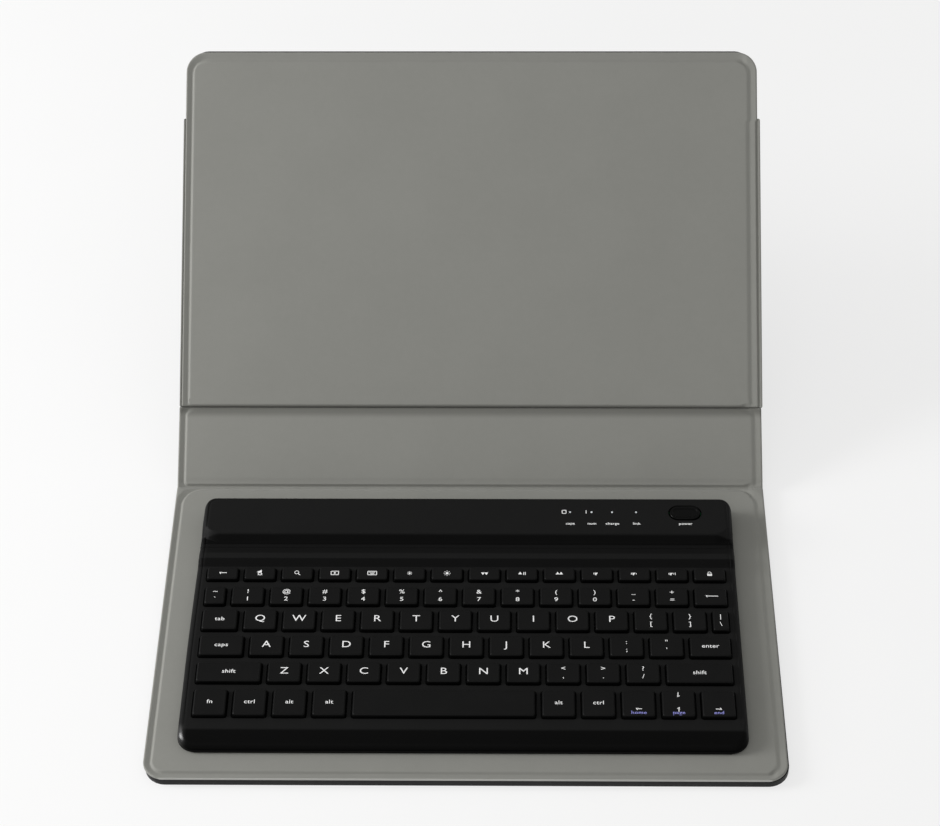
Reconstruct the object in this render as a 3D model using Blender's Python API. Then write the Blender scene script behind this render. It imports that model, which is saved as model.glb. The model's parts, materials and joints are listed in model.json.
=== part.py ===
"""Tablet keyboard case: a folding cover, a hinged tablet plate and a wireless keyboard that lifts off.

The cover lies open on its front panel. The frame's origin is the middle of that panel's underside,
+Y points to the folds and +Z up. Sizes are in millimetres here and become metres when they are used.
"""
import math

import bmesh
import bpy
from mathutils import Matrix, Vector

MM = 0.001

# Folding cover: three panels that share one width and one thickness.
CASE_WIDTH = 264.0
PANEL_DEPTH = 165.0
SPINE_DEPTH = 36.0
PANEL_THICKNESS = 4.3
SPINE_TILT_DEG = 34.0
REAR_TILT_DEG = 39.0
FOLD_GAP = 1.4
FRONT_CORNER = 7.5
TOP_CORNER = 9.0
SMALL_CORNER = 2.5
CLEARANCE = 0.3

# One panel's layers: a tray-shaped cover, a stiffener board in it and a lining over both.
COVER_FLOOR = 0.9
COVER_WALL = 1.1
LINING_THICKNESS = 0.8
LINING_INSET = 0.4

# The tablet plate lies on the rear panel and is hinged near its top.
PLATE_THICKNESS = 2.6
PLATE_FLOOR = 0.6
PLATE_LINING = 0.6
PLATE_INSET = 0.9
PLATE_HINGE_HEIGHT = 134.0
REAR_THICKNESS = 1.7
REAR_FLOOR = 0.6

# Keyboard housing. Heights are above the table.
KEYBOARD_WIDTH = 234.6
KEYBOARD_FRONT = -68.3
KEYBOARD_REAR = 65.5
KEYBOARD_OFFSET = -1.3
KEYBOARD_CORNER = 6.5
HOUSING_BOTTOM = 5.0
HOUSING_SPLIT = 6.3
DECK_TOP = 10.0
DECK_THICKNESS = 1.0
PLATFORM_TOP = 14.0
PLATFORM_FRONT = 41.2
PLATFORM_SLOPE = 3.4
HOUSING_WALL = 1.6
RIM_ROUNDING = 2.4

# Keys.
KEY_TOP = 11.8
KEY_BOTTOM = 8.3
KEY_FIELD_LEFT = -113.3
KEY_FIELD_WIDTH = 224.6
KEY_GAP = 2.3
KEY_CORNER = 1.1
KEY_TAPER = 0.7
KEY_HOLE_CLEARANCE = 0.35
STANDARD_KEY = 14.2
CARRIER_WIDTH = 3.0
CARRIER_THICKNESS = 0.4

# Power button, indicators and charging socket on the raised platform.
BUTTON_SIZE = (13.4, 7.7)
BUTTON_CENTRE = (95.2, 56.9)
INDICATOR_XS = (44.6, 54.1, 63.1, 73.7)
INDICATOR_Y = 57.4
INDICATOR_RADIUS = 0.6
SOCKET_SIZE = (8.0, 7.0, 2.9)
SOCKET_X = 28.0
SOCKET_BOTTOM = 9.3

BLACK_COVER = (0.012, 0.012, 0.012)
GREY_LINING = (0.235, 0.238, 0.215)
BOARD_GREY = (0.30, 0.28, 0.25)
BLACK_PLASTIC = (0.010, 0.010, 0.011)
KEY_BLACK = (0.014, 0.014, 0.015)

# Each row: name, front edge, key depth, widths of the keys before and after the equal ones, and the
# names of its keys from left to right. Keys that share a name are joined under the deck.
KEY_ROWS = (
    ("function", 19.5, 7.2, (), (), ["keys_function_row"] * 14),
    ("number", 5.4, 10.1, (9.3,), (), ["keys_number_row"] * 14),
    ("upper", -8.8, 11.5, (15.5,), (7.2,), ["key_tab", *"qwertyuiop"] + ["keys_brackets"] * 3),
    ("home", -23.0, 11.2, (19.0,), (17.6,), ["key_caps_lock", *"asdfghjkl"] + ["keys_quotes"] * 2 + ["key_enter"]),
    ("lower", -37.3, 11.0, (27.5,), (28.1,),
     ["key_shift_left", *"zxcvbnm"] + ["keys_punctuation"] * 3 + ["key_shift_right"]),
    ("bottom", -55.0, 14.0, (STANDARD_KEY,) * 4, (STANDARD_KEY,) * 5,
     ["keys_modifiers_left"] * 4 + ["key_space"] + ["keys_modifiers_right"] * 5),
)


def clear_scene():
    """Remove every object that the scene starts with."""
    for old in list(bpy.data.objects):
        bpy.data.objects.remove(old, do_unlink=True)


def new_collection(name):
    collection = bpy.data.collections.new(name)
    bpy.context.scene.collection.children.link(collection)
    return collection


def new_material(name, color, roughness, metallic=0.0):
    material = bpy.data.materials.new(name)
    material.use_nodes = True
    shader = material.node_tree.nodes["Principled BSDF"]
    shader.inputs["Base Color"].default_value = (*color, 1.0)
    shader.inputs["Roughness"].default_value = roughness
    shader.inputs["Metallic"].default_value = metallic
    return material


def new_axis(name, location, tilt_deg=0.0, parent=None):
    """Add an empty on a joint's axis, turned about X by tilt_deg."""
    axis = bpy.data.objects.new(name, None)
    axis.empty_display_size = 10 * MM
    axis.location = Vector(location) * MM
    axis.rotation_euler = (math.radians(tilt_deg), 0.0, 0.0)
    axis.parent = parent
    PARTS.objects.link(axis)
    return axis


def make_object(shape, name, color, roughness, parent=None, location=(0, 0, 0), metallic=0.0):
    """Turn a bmesh in millimetres into a named part with its own material."""
    bmesh.ops.scale(shape, vec=(MM, MM, MM), verts=shape.verts)
    bmesh.ops.recalc_face_normals(shape, faces=shape.faces)
    mesh = bpy.data.meshes.new(name)
    shape.to_mesh(mesh)
    shape.free()
    part = bpy.data.objects.new(name, mesh)
    part.location = Vector(location) * MM
    part.parent = parent
    mesh.materials.append(new_material(name, color, roughness, metallic))
    mesh.shade_smooth()
    mesh.set_sharp_from_angle(angle=math.radians(30))
    PARTS.objects.link(part)
    return part


def make_cutter(shape, name, parent=None, location=(0, 0, 0)):
    """Turn a bmesh in millimetres into a hidden operand of a Boolean."""
    cutter = make_object(shape, name, (1.0, 0.0, 0.0), 0.5, parent, location)
    PARTS.objects.unlink(cutter)
    CUTTERS.objects.link(cutter)
    cutter.hide_render = True
    cutter.display_type = "WIRE"
    return cutter


def add_boolean(part, operand, operation):
    boolean = part.modifiers.new(operand.name, "BOOLEAN")
    boolean.object = operand
    boolean.operation = operation
    boolean.solver = "EXACT"


def add_box(shape, x_span, y_span, z_span):
    """Add a box to a bmesh and return its vertices."""
    spans = (x_span, y_span, z_span)
    size = [high - low for low, high in spans]
    centre = [(high + low) / 2 for low, high in spans]
    matrix = Matrix.Translation(centre) @ Matrix.Diagonal((*size, 1.0))
    return bmesh.ops.create_cube(shape, size=1.0, matrix=matrix)["verts"]


def bevel_edges(shape, edges, offset, segments):
    bmesh.ops.bevel(shape, geom=edges, affect="EDGES", offset=offset, segments=segments, profile=0.5,
                    material=-1, clamp_overlap=True)


def is_upright(edge):
    first, second = (vert.co for vert in edge.verts)
    return abs(first.x - second.x) < 1e-4 and abs(first.y - second.y) < 1e-4


def rounded_slab(width, y_span, z_span, front_radius, rear_radius, rim=0.0, segments=5, x_centre=0.0):
    """Make a slab with rounded plan corners and an optional bevel along its top rim."""
    shape = bmesh.new()
    add_box(shape, (x_centre - width / 2, x_centre + width / 2), y_span, z_span)
    for at_y, radius in ((y_span[0], front_radius), (y_span[1], rear_radius)):
        edges = [e for e in shape.edges if is_upright(e) and abs(e.verts[0].co.y - at_y) < 1e-4]
        bevel_edges(shape, edges, radius, segments)
    if rim:
        top = [e for e in shape.edges if all(abs(v.co.z - z_span[1]) < 1e-4 for v in e.verts)]
        bevel_edges(shape, top, rim, 3)
    return shape


def facing_face(shape, direction):
    """Return the face that lies furthest along a direction and faces it."""
    normal = Vector(direction)
    facing = [f for f in shape.faces if f.normal.dot(normal) > 0.99]
    return max(facing, key=lambda face: face.calc_center_median().dot(normal))


def extrude_face(shape, face):
    """Extrude one face in place, drop the original and return the new vertices."""
    extruded = bmesh.ops.extrude_face_region(shape, geom=[face])
    if face.is_valid:
        bmesh.ops.delete(shape, geom=[face], context="FACES_ONLY")
    return [item for item in extruded["geom"] if isinstance(item, bmesh.types.BMVert)]


def hollow_out(shape, direction, wall, depth):
    """Sink the face along a direction, leaving a wall around it."""
    shape.normal_update()
    face = facing_face(shape, direction)
    bmesh.ops.inset_region(shape, faces=[face], thickness=wall, use_even_offset=True)
    sunk = extrude_face(shape, face)
    bmesh.ops.translate(shape, verts=sunk, vec=Vector(direction) * -depth)


def add_panel(prefix, parent, y_span, front_radius, rear_radius, top=0.0, location=(0, 0, 0)):
    """Add one panel of the cover: its tray, its stiffener board and its lining."""
    bottom = top - PANEL_THICKNESS
    lining_bottom = top - LINING_THICKNESS
    wall_top = lining_bottom - CLEARANCE
    tray = rounded_slab(CASE_WIDTH, y_span, (bottom, wall_top), front_radius, rear_radius)
    hollow_out(tray, (0, 0, 1), COVER_WALL, wall_top - bottom - COVER_FLOOR)
    make_object(tray, prefix + "_cover", BLACK_COVER, 0.55, parent, location)
    edge = COVER_WALL + CLEARANCE
    board = rounded_slab(CASE_WIDTH - 2 * edge, (y_span[0] + edge, y_span[1] - edge),
                         (bottom + COVER_FLOOR + CLEARANCE, wall_top), max(front_radius - edge, 1),
                         max(rear_radius - edge, 1))
    make_object(board, prefix + "_board", BOARD_GREY, 0.8, parent, location)
    lining = rounded_slab(CASE_WIDTH - 2 * LINING_INSET, (y_span[0] + LINING_INSET, y_span[1]),
                          (lining_bottom, top), front_radius, rear_radius, rim=0.4)
    make_object(lining, prefix + "_lining", GREY_LINING, 0.6, parent, location)


def add_rear_panel(parent):
    """Add the outer rear panel, a shallow tray with its board, behind the tablet plate."""
    low = -(PLATE_THICKNESS + CLEARANCE + REAR_THICKNESS)
    high = low + REAR_THICKNESS
    y_span = (FOLD_GAP / 2, PLATE_HINGE_HEIGHT - FOLD_GAP / 2)
    tray = rounded_slab(CASE_WIDTH, y_span, (low, high), SMALL_CORNER, SMALL_CORNER)
    hollow_out(tray, (0, 0, 1), COVER_WALL, REAR_THICKNESS - REAR_FLOOR)
    make_object(tray, "rear_cover", BLACK_COVER, 0.55, parent)
    edge = COVER_WALL + CLEARANCE
    board = rounded_slab(CASE_WIDTH - 2 * edge, (y_span[0] + edge, y_span[1] - edge),
                         (low + REAR_FLOOR + CLEARANCE, high), 1.5, 1.5)
    make_object(board, "rear_board", BLACK_COVER, 0.8, parent)


def add_tablet_plate(parent):
    """Add the hinged plate. Its cover is thicker above the hinge, where the outer skin is glued on."""
    low = -PLATE_THICKNESS
    wall_top = -PLATE_LINING - CLEARANCE
    width = CASE_WIDTH - 2 * PLATE_INSET
    y_span = (FOLD_GAP / 2 - PLATE_HINGE_HEIGHT, PANEL_DEPTH - PLATE_HINGE_HEIGHT)
    lift = PLATE_THICKNESS + CLEARANCE + REAR_THICKNESS
    tray = rounded_slab(width, y_span, (low + lift, wall_top + lift), SMALL_CORNER, TOP_CORNER)
    hollow_out(tray, (0, 0, 1), COVER_WALL, wall_top - low - PLATE_FLOOR)
    cover = make_object(tray, "plate_cover", BLACK_COVER, 0.55, parent)
    band = rounded_slab(width - 0.2, (FOLD_GAP / 2, y_span[1] - 0.1), (0.0, low + lift + PLATE_FLOOR / 2),
                        SMALL_CORNER, TOP_CORNER)
    add_boolean(cover, make_cutter(band, "plate_band", parent), "UNION")
    edge = COVER_WALL + CLEARANCE
    board = rounded_slab(width - 2 * edge, (y_span[0] + edge, y_span[1] - edge),
                         (low + lift + PLATE_FLOOR + CLEARANCE, wall_top + lift), 1.5, TOP_CORNER - edge)
    make_object(board, "plate_board", BOARD_GREY, 0.8, parent)
    lining = rounded_slab(width - 2 * LINING_INSET, (y_span[0], y_span[1] - LINING_INSET),
                          (lift - PLATE_LINING, lift), SMALL_CORNER, TOP_CORNER, rim=0.3)
    make_object(lining, "plate_lining", GREY_LINING, 0.6, parent)


def key_cells():
    """Yield each key's node name, x span and y span, row by row from left to right."""
    for _, front, depth, lead, tail, names in KEY_ROWS:
        equal_count = len(names) - len(lead) - len(tail)
        fixed = sum(lead) + sum(tail) + KEY_GAP * (len(names) - 1)
        equal = (KEY_FIELD_WIDTH - fixed) / equal_count
        left = KEY_FIELD_LEFT
        for name, width in zip(names, (*lead, *[equal] * equal_count, *tail)):
            node = name if name.startswith("key") else "key_" + name
            yield node, (left, left + width), (front, front + depth)
            left += width + KEY_GAP


def add_key_cap(shape, x_span, y_span):
    """Add one key: a straight skirt through the deck under a cap that narrows to its top."""
    shoulder = DECK_TOP + 0.3
    verts = add_box(shape, x_span, y_span, (KEY_BOTTOM, shoulder))
    edges = [e for e in {e for v in verts for e in v.link_edges} if is_upright(e)]
    bevel_edges(shape, edges, KEY_CORNER, 2)
    shape.normal_update()
    centre = Vector((sum(x_span) / 2, sum(y_span) / 2, 0.0))
    tops = [f for f in shape.faces if f.normal.z > 0.99 and f.calc_center_median().z > shoulder - 0.1]
    top = min(tops, key=lambda face: (face.calc_center_median().xy - centre.xy).length)
    cap = extrude_face(shape, top)
    width, depth = x_span[1] - x_span[0], y_span[1] - y_span[0]
    narrow = Matrix.Diagonal((1 - 2 * KEY_TAPER / width, 1 - 2 * KEY_TAPER / depth, 1.0, 1.0))
    about = Matrix.Translation(centre)
    bmesh.ops.transform(shape, matrix=about @ narrow @ about.inverted(), verts=cap)
    bmesh.ops.translate(shape, verts=cap, vec=(0, 0, KEY_TOP - shoulder))


def add_keys(parent):
    """Add every key, and the joined keys as one piece on a thin carrier under the deck."""
    groups = {}
    for node, x_span, y_span in key_cells():
        groups.setdefault(node, []).append((x_span, y_span))
    for node, cells in groups.items():
        x_low, x_high = cells[0][0][0], cells[-1][0][1]
        y_low, y_high = cells[0][1]
        centre = Vector(((x_low + x_high) / 2, (y_low + y_high) / 2, 0.0))
        shape = bmesh.new()
        for x_span, y_span in cells:
            add_key_cap(shape, x_span, y_span)
        bmesh.ops.translate(shape, verts=shape.verts, vec=-centre)
        key = make_object(shape, node, KEY_BLACK, 0.45, parent, centre)
        if len(cells) > 1:
            bar = bmesh.new()
            half = (x_high - x_low) / 2 - KEY_CORNER
            low = KEY_BOTTOM + 0.05
            add_box(bar, (-half, half), (-CARRIER_WIDTH / 2, CARRIER_WIDTH / 2), (low, low + CARRIER_THICKNESS))
            add_boolean(key, make_cutter(bar, node + "_carrier", parent, centre), "UNION")


def key_holes():
    """Make the cutter for the key holes in the deck."""
    shape = bmesh.new()
    grow = KEY_HOLE_CLEARANCE
    for _, x_span, y_span in key_cells():
        add_box(shape, (x_span[0] - grow, x_span[1] + grow), (y_span[0] - grow, y_span[1] + grow),
                (DECK_TOP - DECK_THICKNESS - 0.4, DECK_TOP + 0.4))
    return shape


def stadium(size, centre, z_span):
    """Make an upright prism whose plan is a rectangle with round ends."""
    width, depth = size
    shape = bmesh.new()
    add_box(shape, (centre[0] - width / 2, centre[0] + width / 2),
            (centre[1] - depth / 2, centre[1] + depth / 2), z_span)
    bevel_edges(shape, [e for e in shape.edges if is_upright(e)], depth / 2 - 0.05, 6)
    return shape


def add_post(shape, centre, radius, z_span):
    height = z_span[1] - z_span[0]
    matrix = Matrix.Translation((centre[0], centre[1], (z_span[0] + z_span[1]) / 2))
    bmesh.ops.create_cone(shape, cap_ends=True, segments=12, radius1=radius, radius2=radius,
                          depth=height, matrix=matrix)


def add_top_case(parent):
    """Add the keyboard's upper shell: deck, raised platform, walls, and holes for keys and controls."""
    y_span = (KEYBOARD_FRONT, KEYBOARD_REAR)
    shell = rounded_slab(KEYBOARD_WIDTH, y_span, (HOUSING_SPLIT, DECK_TOP), KEYBOARD_CORNER, KEYBOARD_CORNER,
                         rim=RIM_ROUNDING, x_centre=KEYBOARD_OFFSET)
    case = make_object(shell, "keyboard_top_case", BLACK_PLASTIC, 0.4, parent)

    platform = rounded_slab(KEYBOARD_WIDTH - 0.5, (PLATFORM_FRONT - 20, KEYBOARD_REAR - 0.25),
                            (HOUSING_SPLIT + 0.5, PLATFORM_TOP), 1.0, KEYBOARD_CORNER, rim=0.8,
                            x_centre=KEYBOARD_OFFSET)
    rise = PLATFORM_TOP - DECK_TOP
    foot = Vector((0, PLATFORM_FRONT, DECK_TOP))
    slope_normal = Vector((0, -rise, PLATFORM_SLOPE)).normalized()
    geometry = platform.verts[:] + platform.edges[:] + platform.faces[:]
    cut = bmesh.ops.bisect_plane(platform, geom=geometry, plane_co=foot, plane_no=slope_normal, clear_outer=True)
    rim = [item for item in cut["geom_cut"] if isinstance(item, bmesh.types.BMEdge)]
    bmesh.ops.contextual_create(platform, geom=rim)
    add_boolean(case, make_cutter(platform, "platform_block", parent), "UNION")

    cavity = rounded_slab(KEYBOARD_WIDTH - 2 * HOUSING_WALL, (y_span[0] + HOUSING_WALL, y_span[1] - HOUSING_WALL),
                          (HOUSING_SPLIT - 1, DECK_TOP - DECK_THICKNESS), KEYBOARD_CORNER - 1,
                          KEYBOARD_CORNER - 1, x_centre=KEYBOARD_OFFSET)
    add_boolean(case, make_cutter(cavity, "housing_cavity", parent), "DIFFERENCE")
    bay = rounded_slab(KEYBOARD_WIDTH - 2 * HOUSING_WALL - 2,
                       (PLATFORM_FRONT + PLATFORM_SLOPE + 1, y_span[1] - HOUSING_WALL - 0.5),
                       (DECK_TOP - DECK_THICKNESS - 1, PLATFORM_TOP - 1.2), 2, KEYBOARD_CORNER - 2,
                       x_centre=KEYBOARD_OFFSET)
    add_boolean(case, make_cutter(bay, "platform_bay", parent), "DIFFERENCE")
    add_boolean(case, make_cutter(key_holes(), "key_holes", parent), "DIFFERENCE")

    controls = stadium([side + 2 * CLEARANCE for side in BUTTON_SIZE], BUTTON_CENTRE,
                       (PLATFORM_TOP - 2, PLATFORM_TOP + 1))
    for x in INDICATOR_XS:
        add_post(controls, (x, INDICATOR_Y), INDICATOR_RADIUS + 0.15, (PLATFORM_TOP - 2, PLATFORM_TOP + 1))
    half = SOCKET_SIZE[0] / 2 + CLEARANCE
    add_box(controls, (SOCKET_X - half, SOCKET_X + half), (KEYBOARD_REAR - 4, KEYBOARD_REAR + 1),
            (SOCKET_BOTTOM - CLEARANCE, SOCKET_BOTTOM + SOCKET_SIZE[2] + CLEARANCE))
    add_boolean(case, make_cutter(controls, "control_holes", parent), "DIFFERENCE")


def add_bottom_case(parent):
    """Add the keyboard's base plate and the two magnet strips that are its feet."""
    plate_top = HOUSING_SPLIT - CLEARANCE
    plate = rounded_slab(KEYBOARD_WIDTH, (KEYBOARD_FRONT, KEYBOARD_REAR), (HOUSING_BOTTOM, plate_top),
                         KEYBOARD_CORNER, KEYBOARD_CORNER, x_centre=KEYBOARD_OFFSET)
    base = make_object(plate, "keyboard_bottom_case", BLACK_PLASTIC, 0.5, parent)
    strip_length, strip_depth = 198.0, 8.0
    strip_bottom = PANEL_THICKNESS + CLEARANCE
    strip_top = HOUSING_BOTTOM + 0.2
    pockets = bmesh.new()
    for name, y_centre in (("front", KEYBOARD_FRONT + 14), ("rear", KEYBOARD_REAR - 14)):
        grow = CLEARANCE
        add_box(pockets, (KEYBOARD_OFFSET - strip_length / 2 - grow, KEYBOARD_OFFSET + strip_length / 2 + grow),
                (y_centre - strip_depth / 2 - grow, y_centre + strip_depth / 2 + grow),
                (HOUSING_BOTTOM - 1, strip_top + grow))
        strip = rounded_slab(strip_length, (y_centre - strip_depth / 2, y_centre + strip_depth / 2),
                             (strip_bottom, strip_top), 2.0, 2.0, x_centre=KEYBOARD_OFFSET)
        make_object(strip, "magnet_strip_" + name, (0.02, 0.02, 0.02), 0.85, parent)
    add_boolean(base, make_cutter(pockets, "strip_pockets", parent), "DIFFERENCE")


def add_keyboard_insides(parent):
    """Add the membrane sheet, circuit board, battery, light guide and charging socket."""
    membrane = rounded_slab(KEY_FIELD_WIDTH + 4, (KEYBOARD_FRONT + 10, PLATFORM_FRONT - 8), (6.5, 6.8), 2, 2,
                            x_centre=KEY_FIELD_LEFT + KEY_FIELD_WIDTH / 2)
    make_object(membrane, "key_membrane", (0.55, 0.56, 0.55), 0.5, parent)
    board = bmesh.new()
    add_box(board, (20, 104), (PLATFORM_FRONT + 5, KEYBOARD_REAR - 2.4), (8.0, 9.0))
    make_object(board, "circuit_board", (0.02, 0.18, 0.06), 0.4, parent)
    battery = rounded_slab(66, (PLATFORM_FRONT + 5, KEYBOARD_REAR - 3), (6.6, 12.0), 1.5, 1.5, rim=0.8,
                           x_centre=-44)
    make_object(battery, "battery", (0.45, 0.46, 0.48), 0.35, parent, metallic=0.4)

    guide = bmesh.new()
    guide_low, guide_high = 9.6, PLATFORM_TOP - 1.6
    add_box(guide, (INDICATOR_XS[0] - 3, INDICATOR_XS[-1] + 3), (INDICATOR_Y - 2, INDICATOR_Y + 2),
            (guide_low, guide_high))
    light_guide = make_object(guide, "indicator_light_guide", (0.75, 0.78, 0.80), 0.2, parent)
    prongs = bmesh.new()
    for x in INDICATOR_XS:
        add_post(prongs, (x, INDICATOR_Y), INDICATOR_RADIUS - 0.15, (guide_low + 1, PLATFORM_TOP - 0.1))
    add_boolean(light_guide, make_cutter(prongs, "light_prongs", parent), "UNION")

    width, length, height = SOCKET_SIZE
    socket = bmesh.new()
    add_box(socket, (SOCKET_X - width / 2, SOCKET_X + width / 2), (KEYBOARD_REAR - length - 0.3, KEYBOARD_REAR - 0.3),
            (SOCKET_BOTTOM, SOCKET_BOTTOM + height))
    hollow_out(socket, (0, 1, 0), 0.4, length - 1.5)
    make_object(socket, "charging_socket", (0.60, 0.60, 0.62), 0.3, parent, metallic=1.0)


def add_power_button(parent):
    """Add the oval power button, whose stem reaches down to the circuit board."""
    centre = Vector((*BUTTON_CENTRE, 0.0))
    cap = stadium(BUTTON_SIZE, (0, 0), (PLATFORM_TOP - 1.2, PLATFORM_TOP + 0.4))
    button = make_object(cap, "power_button", KEY_BLACK, 0.35, parent, centre)
    stem = bmesh.new()
    add_post(stem, (0, 0), 1.6, (9.8, PLATFORM_TOP - 0.8))
    add_boolean(button, make_cutter(stem, "button_stem", parent, centre), "UNION")


clear_scene()
PARTS = new_collection("tablet_keyboard_case")
CUTTERS = new_collection("cutters")

HALF_PANEL = PANEL_DEPTH / 2
add_panel("front", None, (-HALF_PANEL, HALF_PANEL - FOLD_GAP / 2), FRONT_CORNER, SMALL_CORNER,
          top=PANEL_THICKNESS)

lower_fold = new_axis("lower_fold_axis", (0, HALF_PANEL, PANEL_THICKNESS), SPINE_TILT_DEG)
add_panel("spine", lower_fold, (FOLD_GAP / 2, SPINE_DEPTH - FOLD_GAP / 2), SMALL_CORNER, SMALL_CORNER)

upper_fold = new_axis("upper_fold_axis", (0, SPINE_DEPTH, 0), REAR_TILT_DEG - SPINE_TILT_DEG, lower_fold)
add_rear_panel(upper_fold)

PLATE_AXIS_DROP = PLATE_THICKNESS + CLEARANCE + REAR_THICKNESS
plate_hinge = new_axis("plate_hinge_axis", (0, PLATE_HINGE_HEIGHT, -PLATE_AXIS_DROP), parent=upper_fold)
add_tablet_plate(plate_hinge)

keyboard = new_axis("keyboard_axis", (0, 0, 0))
add_top_case(keyboard)
add_bottom_case(keyboard)
add_keyboard_insides(keyboard)
add_power_button(keyboard)
add_keys(keyboard)
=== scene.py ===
"""Looks of the tablet keyboard case: padded linings, folding skins, a moulded keyboard and printed keys.

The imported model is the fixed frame: origin under the middle of the front panel, +Y to the folds, +Z up.
Shapes are worked out in millimetres and become metres when a piece is finished. The cover is first laid
out flat, as its maker cuts it (x across, s from front to rear, h above the lining), and then folded.
"""

import json
import logging
import math
from collections.abc import Callable, Iterable, Sequence
from dataclasses import dataclass, field
from enum import Enum

import bmesh
import bpy
from mathutils import Matrix, Vector

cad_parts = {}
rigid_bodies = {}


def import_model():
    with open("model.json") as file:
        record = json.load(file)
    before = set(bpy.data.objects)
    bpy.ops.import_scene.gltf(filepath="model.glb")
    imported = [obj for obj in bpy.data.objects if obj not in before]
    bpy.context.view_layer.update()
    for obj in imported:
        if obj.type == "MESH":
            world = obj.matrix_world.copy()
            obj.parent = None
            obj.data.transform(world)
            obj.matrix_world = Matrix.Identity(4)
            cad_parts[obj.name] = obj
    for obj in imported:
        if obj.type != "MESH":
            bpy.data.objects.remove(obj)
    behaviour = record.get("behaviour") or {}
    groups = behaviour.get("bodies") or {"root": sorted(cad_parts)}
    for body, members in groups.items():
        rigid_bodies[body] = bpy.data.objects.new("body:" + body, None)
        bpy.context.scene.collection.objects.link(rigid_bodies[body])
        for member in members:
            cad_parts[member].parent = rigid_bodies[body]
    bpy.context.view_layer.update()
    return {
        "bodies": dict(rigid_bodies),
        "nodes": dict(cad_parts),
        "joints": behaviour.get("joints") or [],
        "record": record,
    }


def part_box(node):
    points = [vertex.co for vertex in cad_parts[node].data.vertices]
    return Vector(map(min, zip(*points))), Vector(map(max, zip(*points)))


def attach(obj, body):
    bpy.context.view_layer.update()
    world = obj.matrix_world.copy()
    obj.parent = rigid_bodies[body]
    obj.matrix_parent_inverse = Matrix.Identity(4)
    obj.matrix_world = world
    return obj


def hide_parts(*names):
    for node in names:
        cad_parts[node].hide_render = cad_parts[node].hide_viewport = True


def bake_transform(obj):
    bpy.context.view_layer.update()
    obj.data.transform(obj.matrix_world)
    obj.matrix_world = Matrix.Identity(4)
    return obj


Shape = bmesh.types.BMesh
Piece = bpy.types.Object
Colour = tuple[float, float, float, float]
Span = tuple[float, float]

MM = 0.001
LEVEL = 0.99  # a face whose normal's z is above this counts as level
SHARP_DEG = 32.0
CAPITAL_SHARE = 0.729  # height of a capital as a share of the font's size
LOG = logging.getLogger("tablet_keyboard_case")

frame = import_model()


# ---------------------------------------------------------------- shader maths


def linear(level: float) -> float:
    """Turn one display value from 0 to 255 into the linear value that a shader takes."""
    share = level / 255
    return share / 12.92 if share <= 0.04045 else ((share + 0.055) / 1.055) ** 2.4


def tone(red: float, green: float, blue: float) -> Colour:
    """Turn a display colour into a linear shader colour."""
    return (linear(red), linear(green), linear(blue), 1.0)


class Signal:
    """A shader socket that adds Math nodes when it is used in an expression."""

    def __init__(self, graph: "Graph", socket: bpy.types.NodeSocket) -> None:
        """Hold the socket and the graph that new nodes go in."""
        self.graph = graph
        self.socket = socket

    def __add__(self, other: "Signal | float") -> "Signal":
        """Add a signal or a number."""
        return self.graph.math("ADD", self, other)

    def __sub__(self, other: "Signal | float") -> "Signal":
        """Take away a signal or a number."""
        return self.graph.math("SUBTRACT", self, other)

    def __rsub__(self, other: float) -> "Signal":
        """Take this signal from a number."""
        return self.graph.math("SUBTRACT", other, self)

    def __mul__(self, other: "Signal | float") -> "Signal":
        """Multiply by a signal or a number."""
        return self.graph.math("MULTIPLY", self, other)

    __radd__ = __add__
    __rmul__ = __mul__

    def ramp(self, low: float, high: float) -> "Signal":
        """Stretch the span from low to high to 0 to 1, smoothly and clamped.

        Args:
            low: Value that becomes 0.
            high: Value that becomes 1.

        Returns:
            The stretched signal.
        """
        node = self.graph.node("ShaderNodeMapRange", {"interpolation_type": "SMOOTHSTEP"},
                               {"Value": self, "From Min": low, "From Max": high})
        return Signal(self.graph, node.outputs["Result"])


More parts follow.
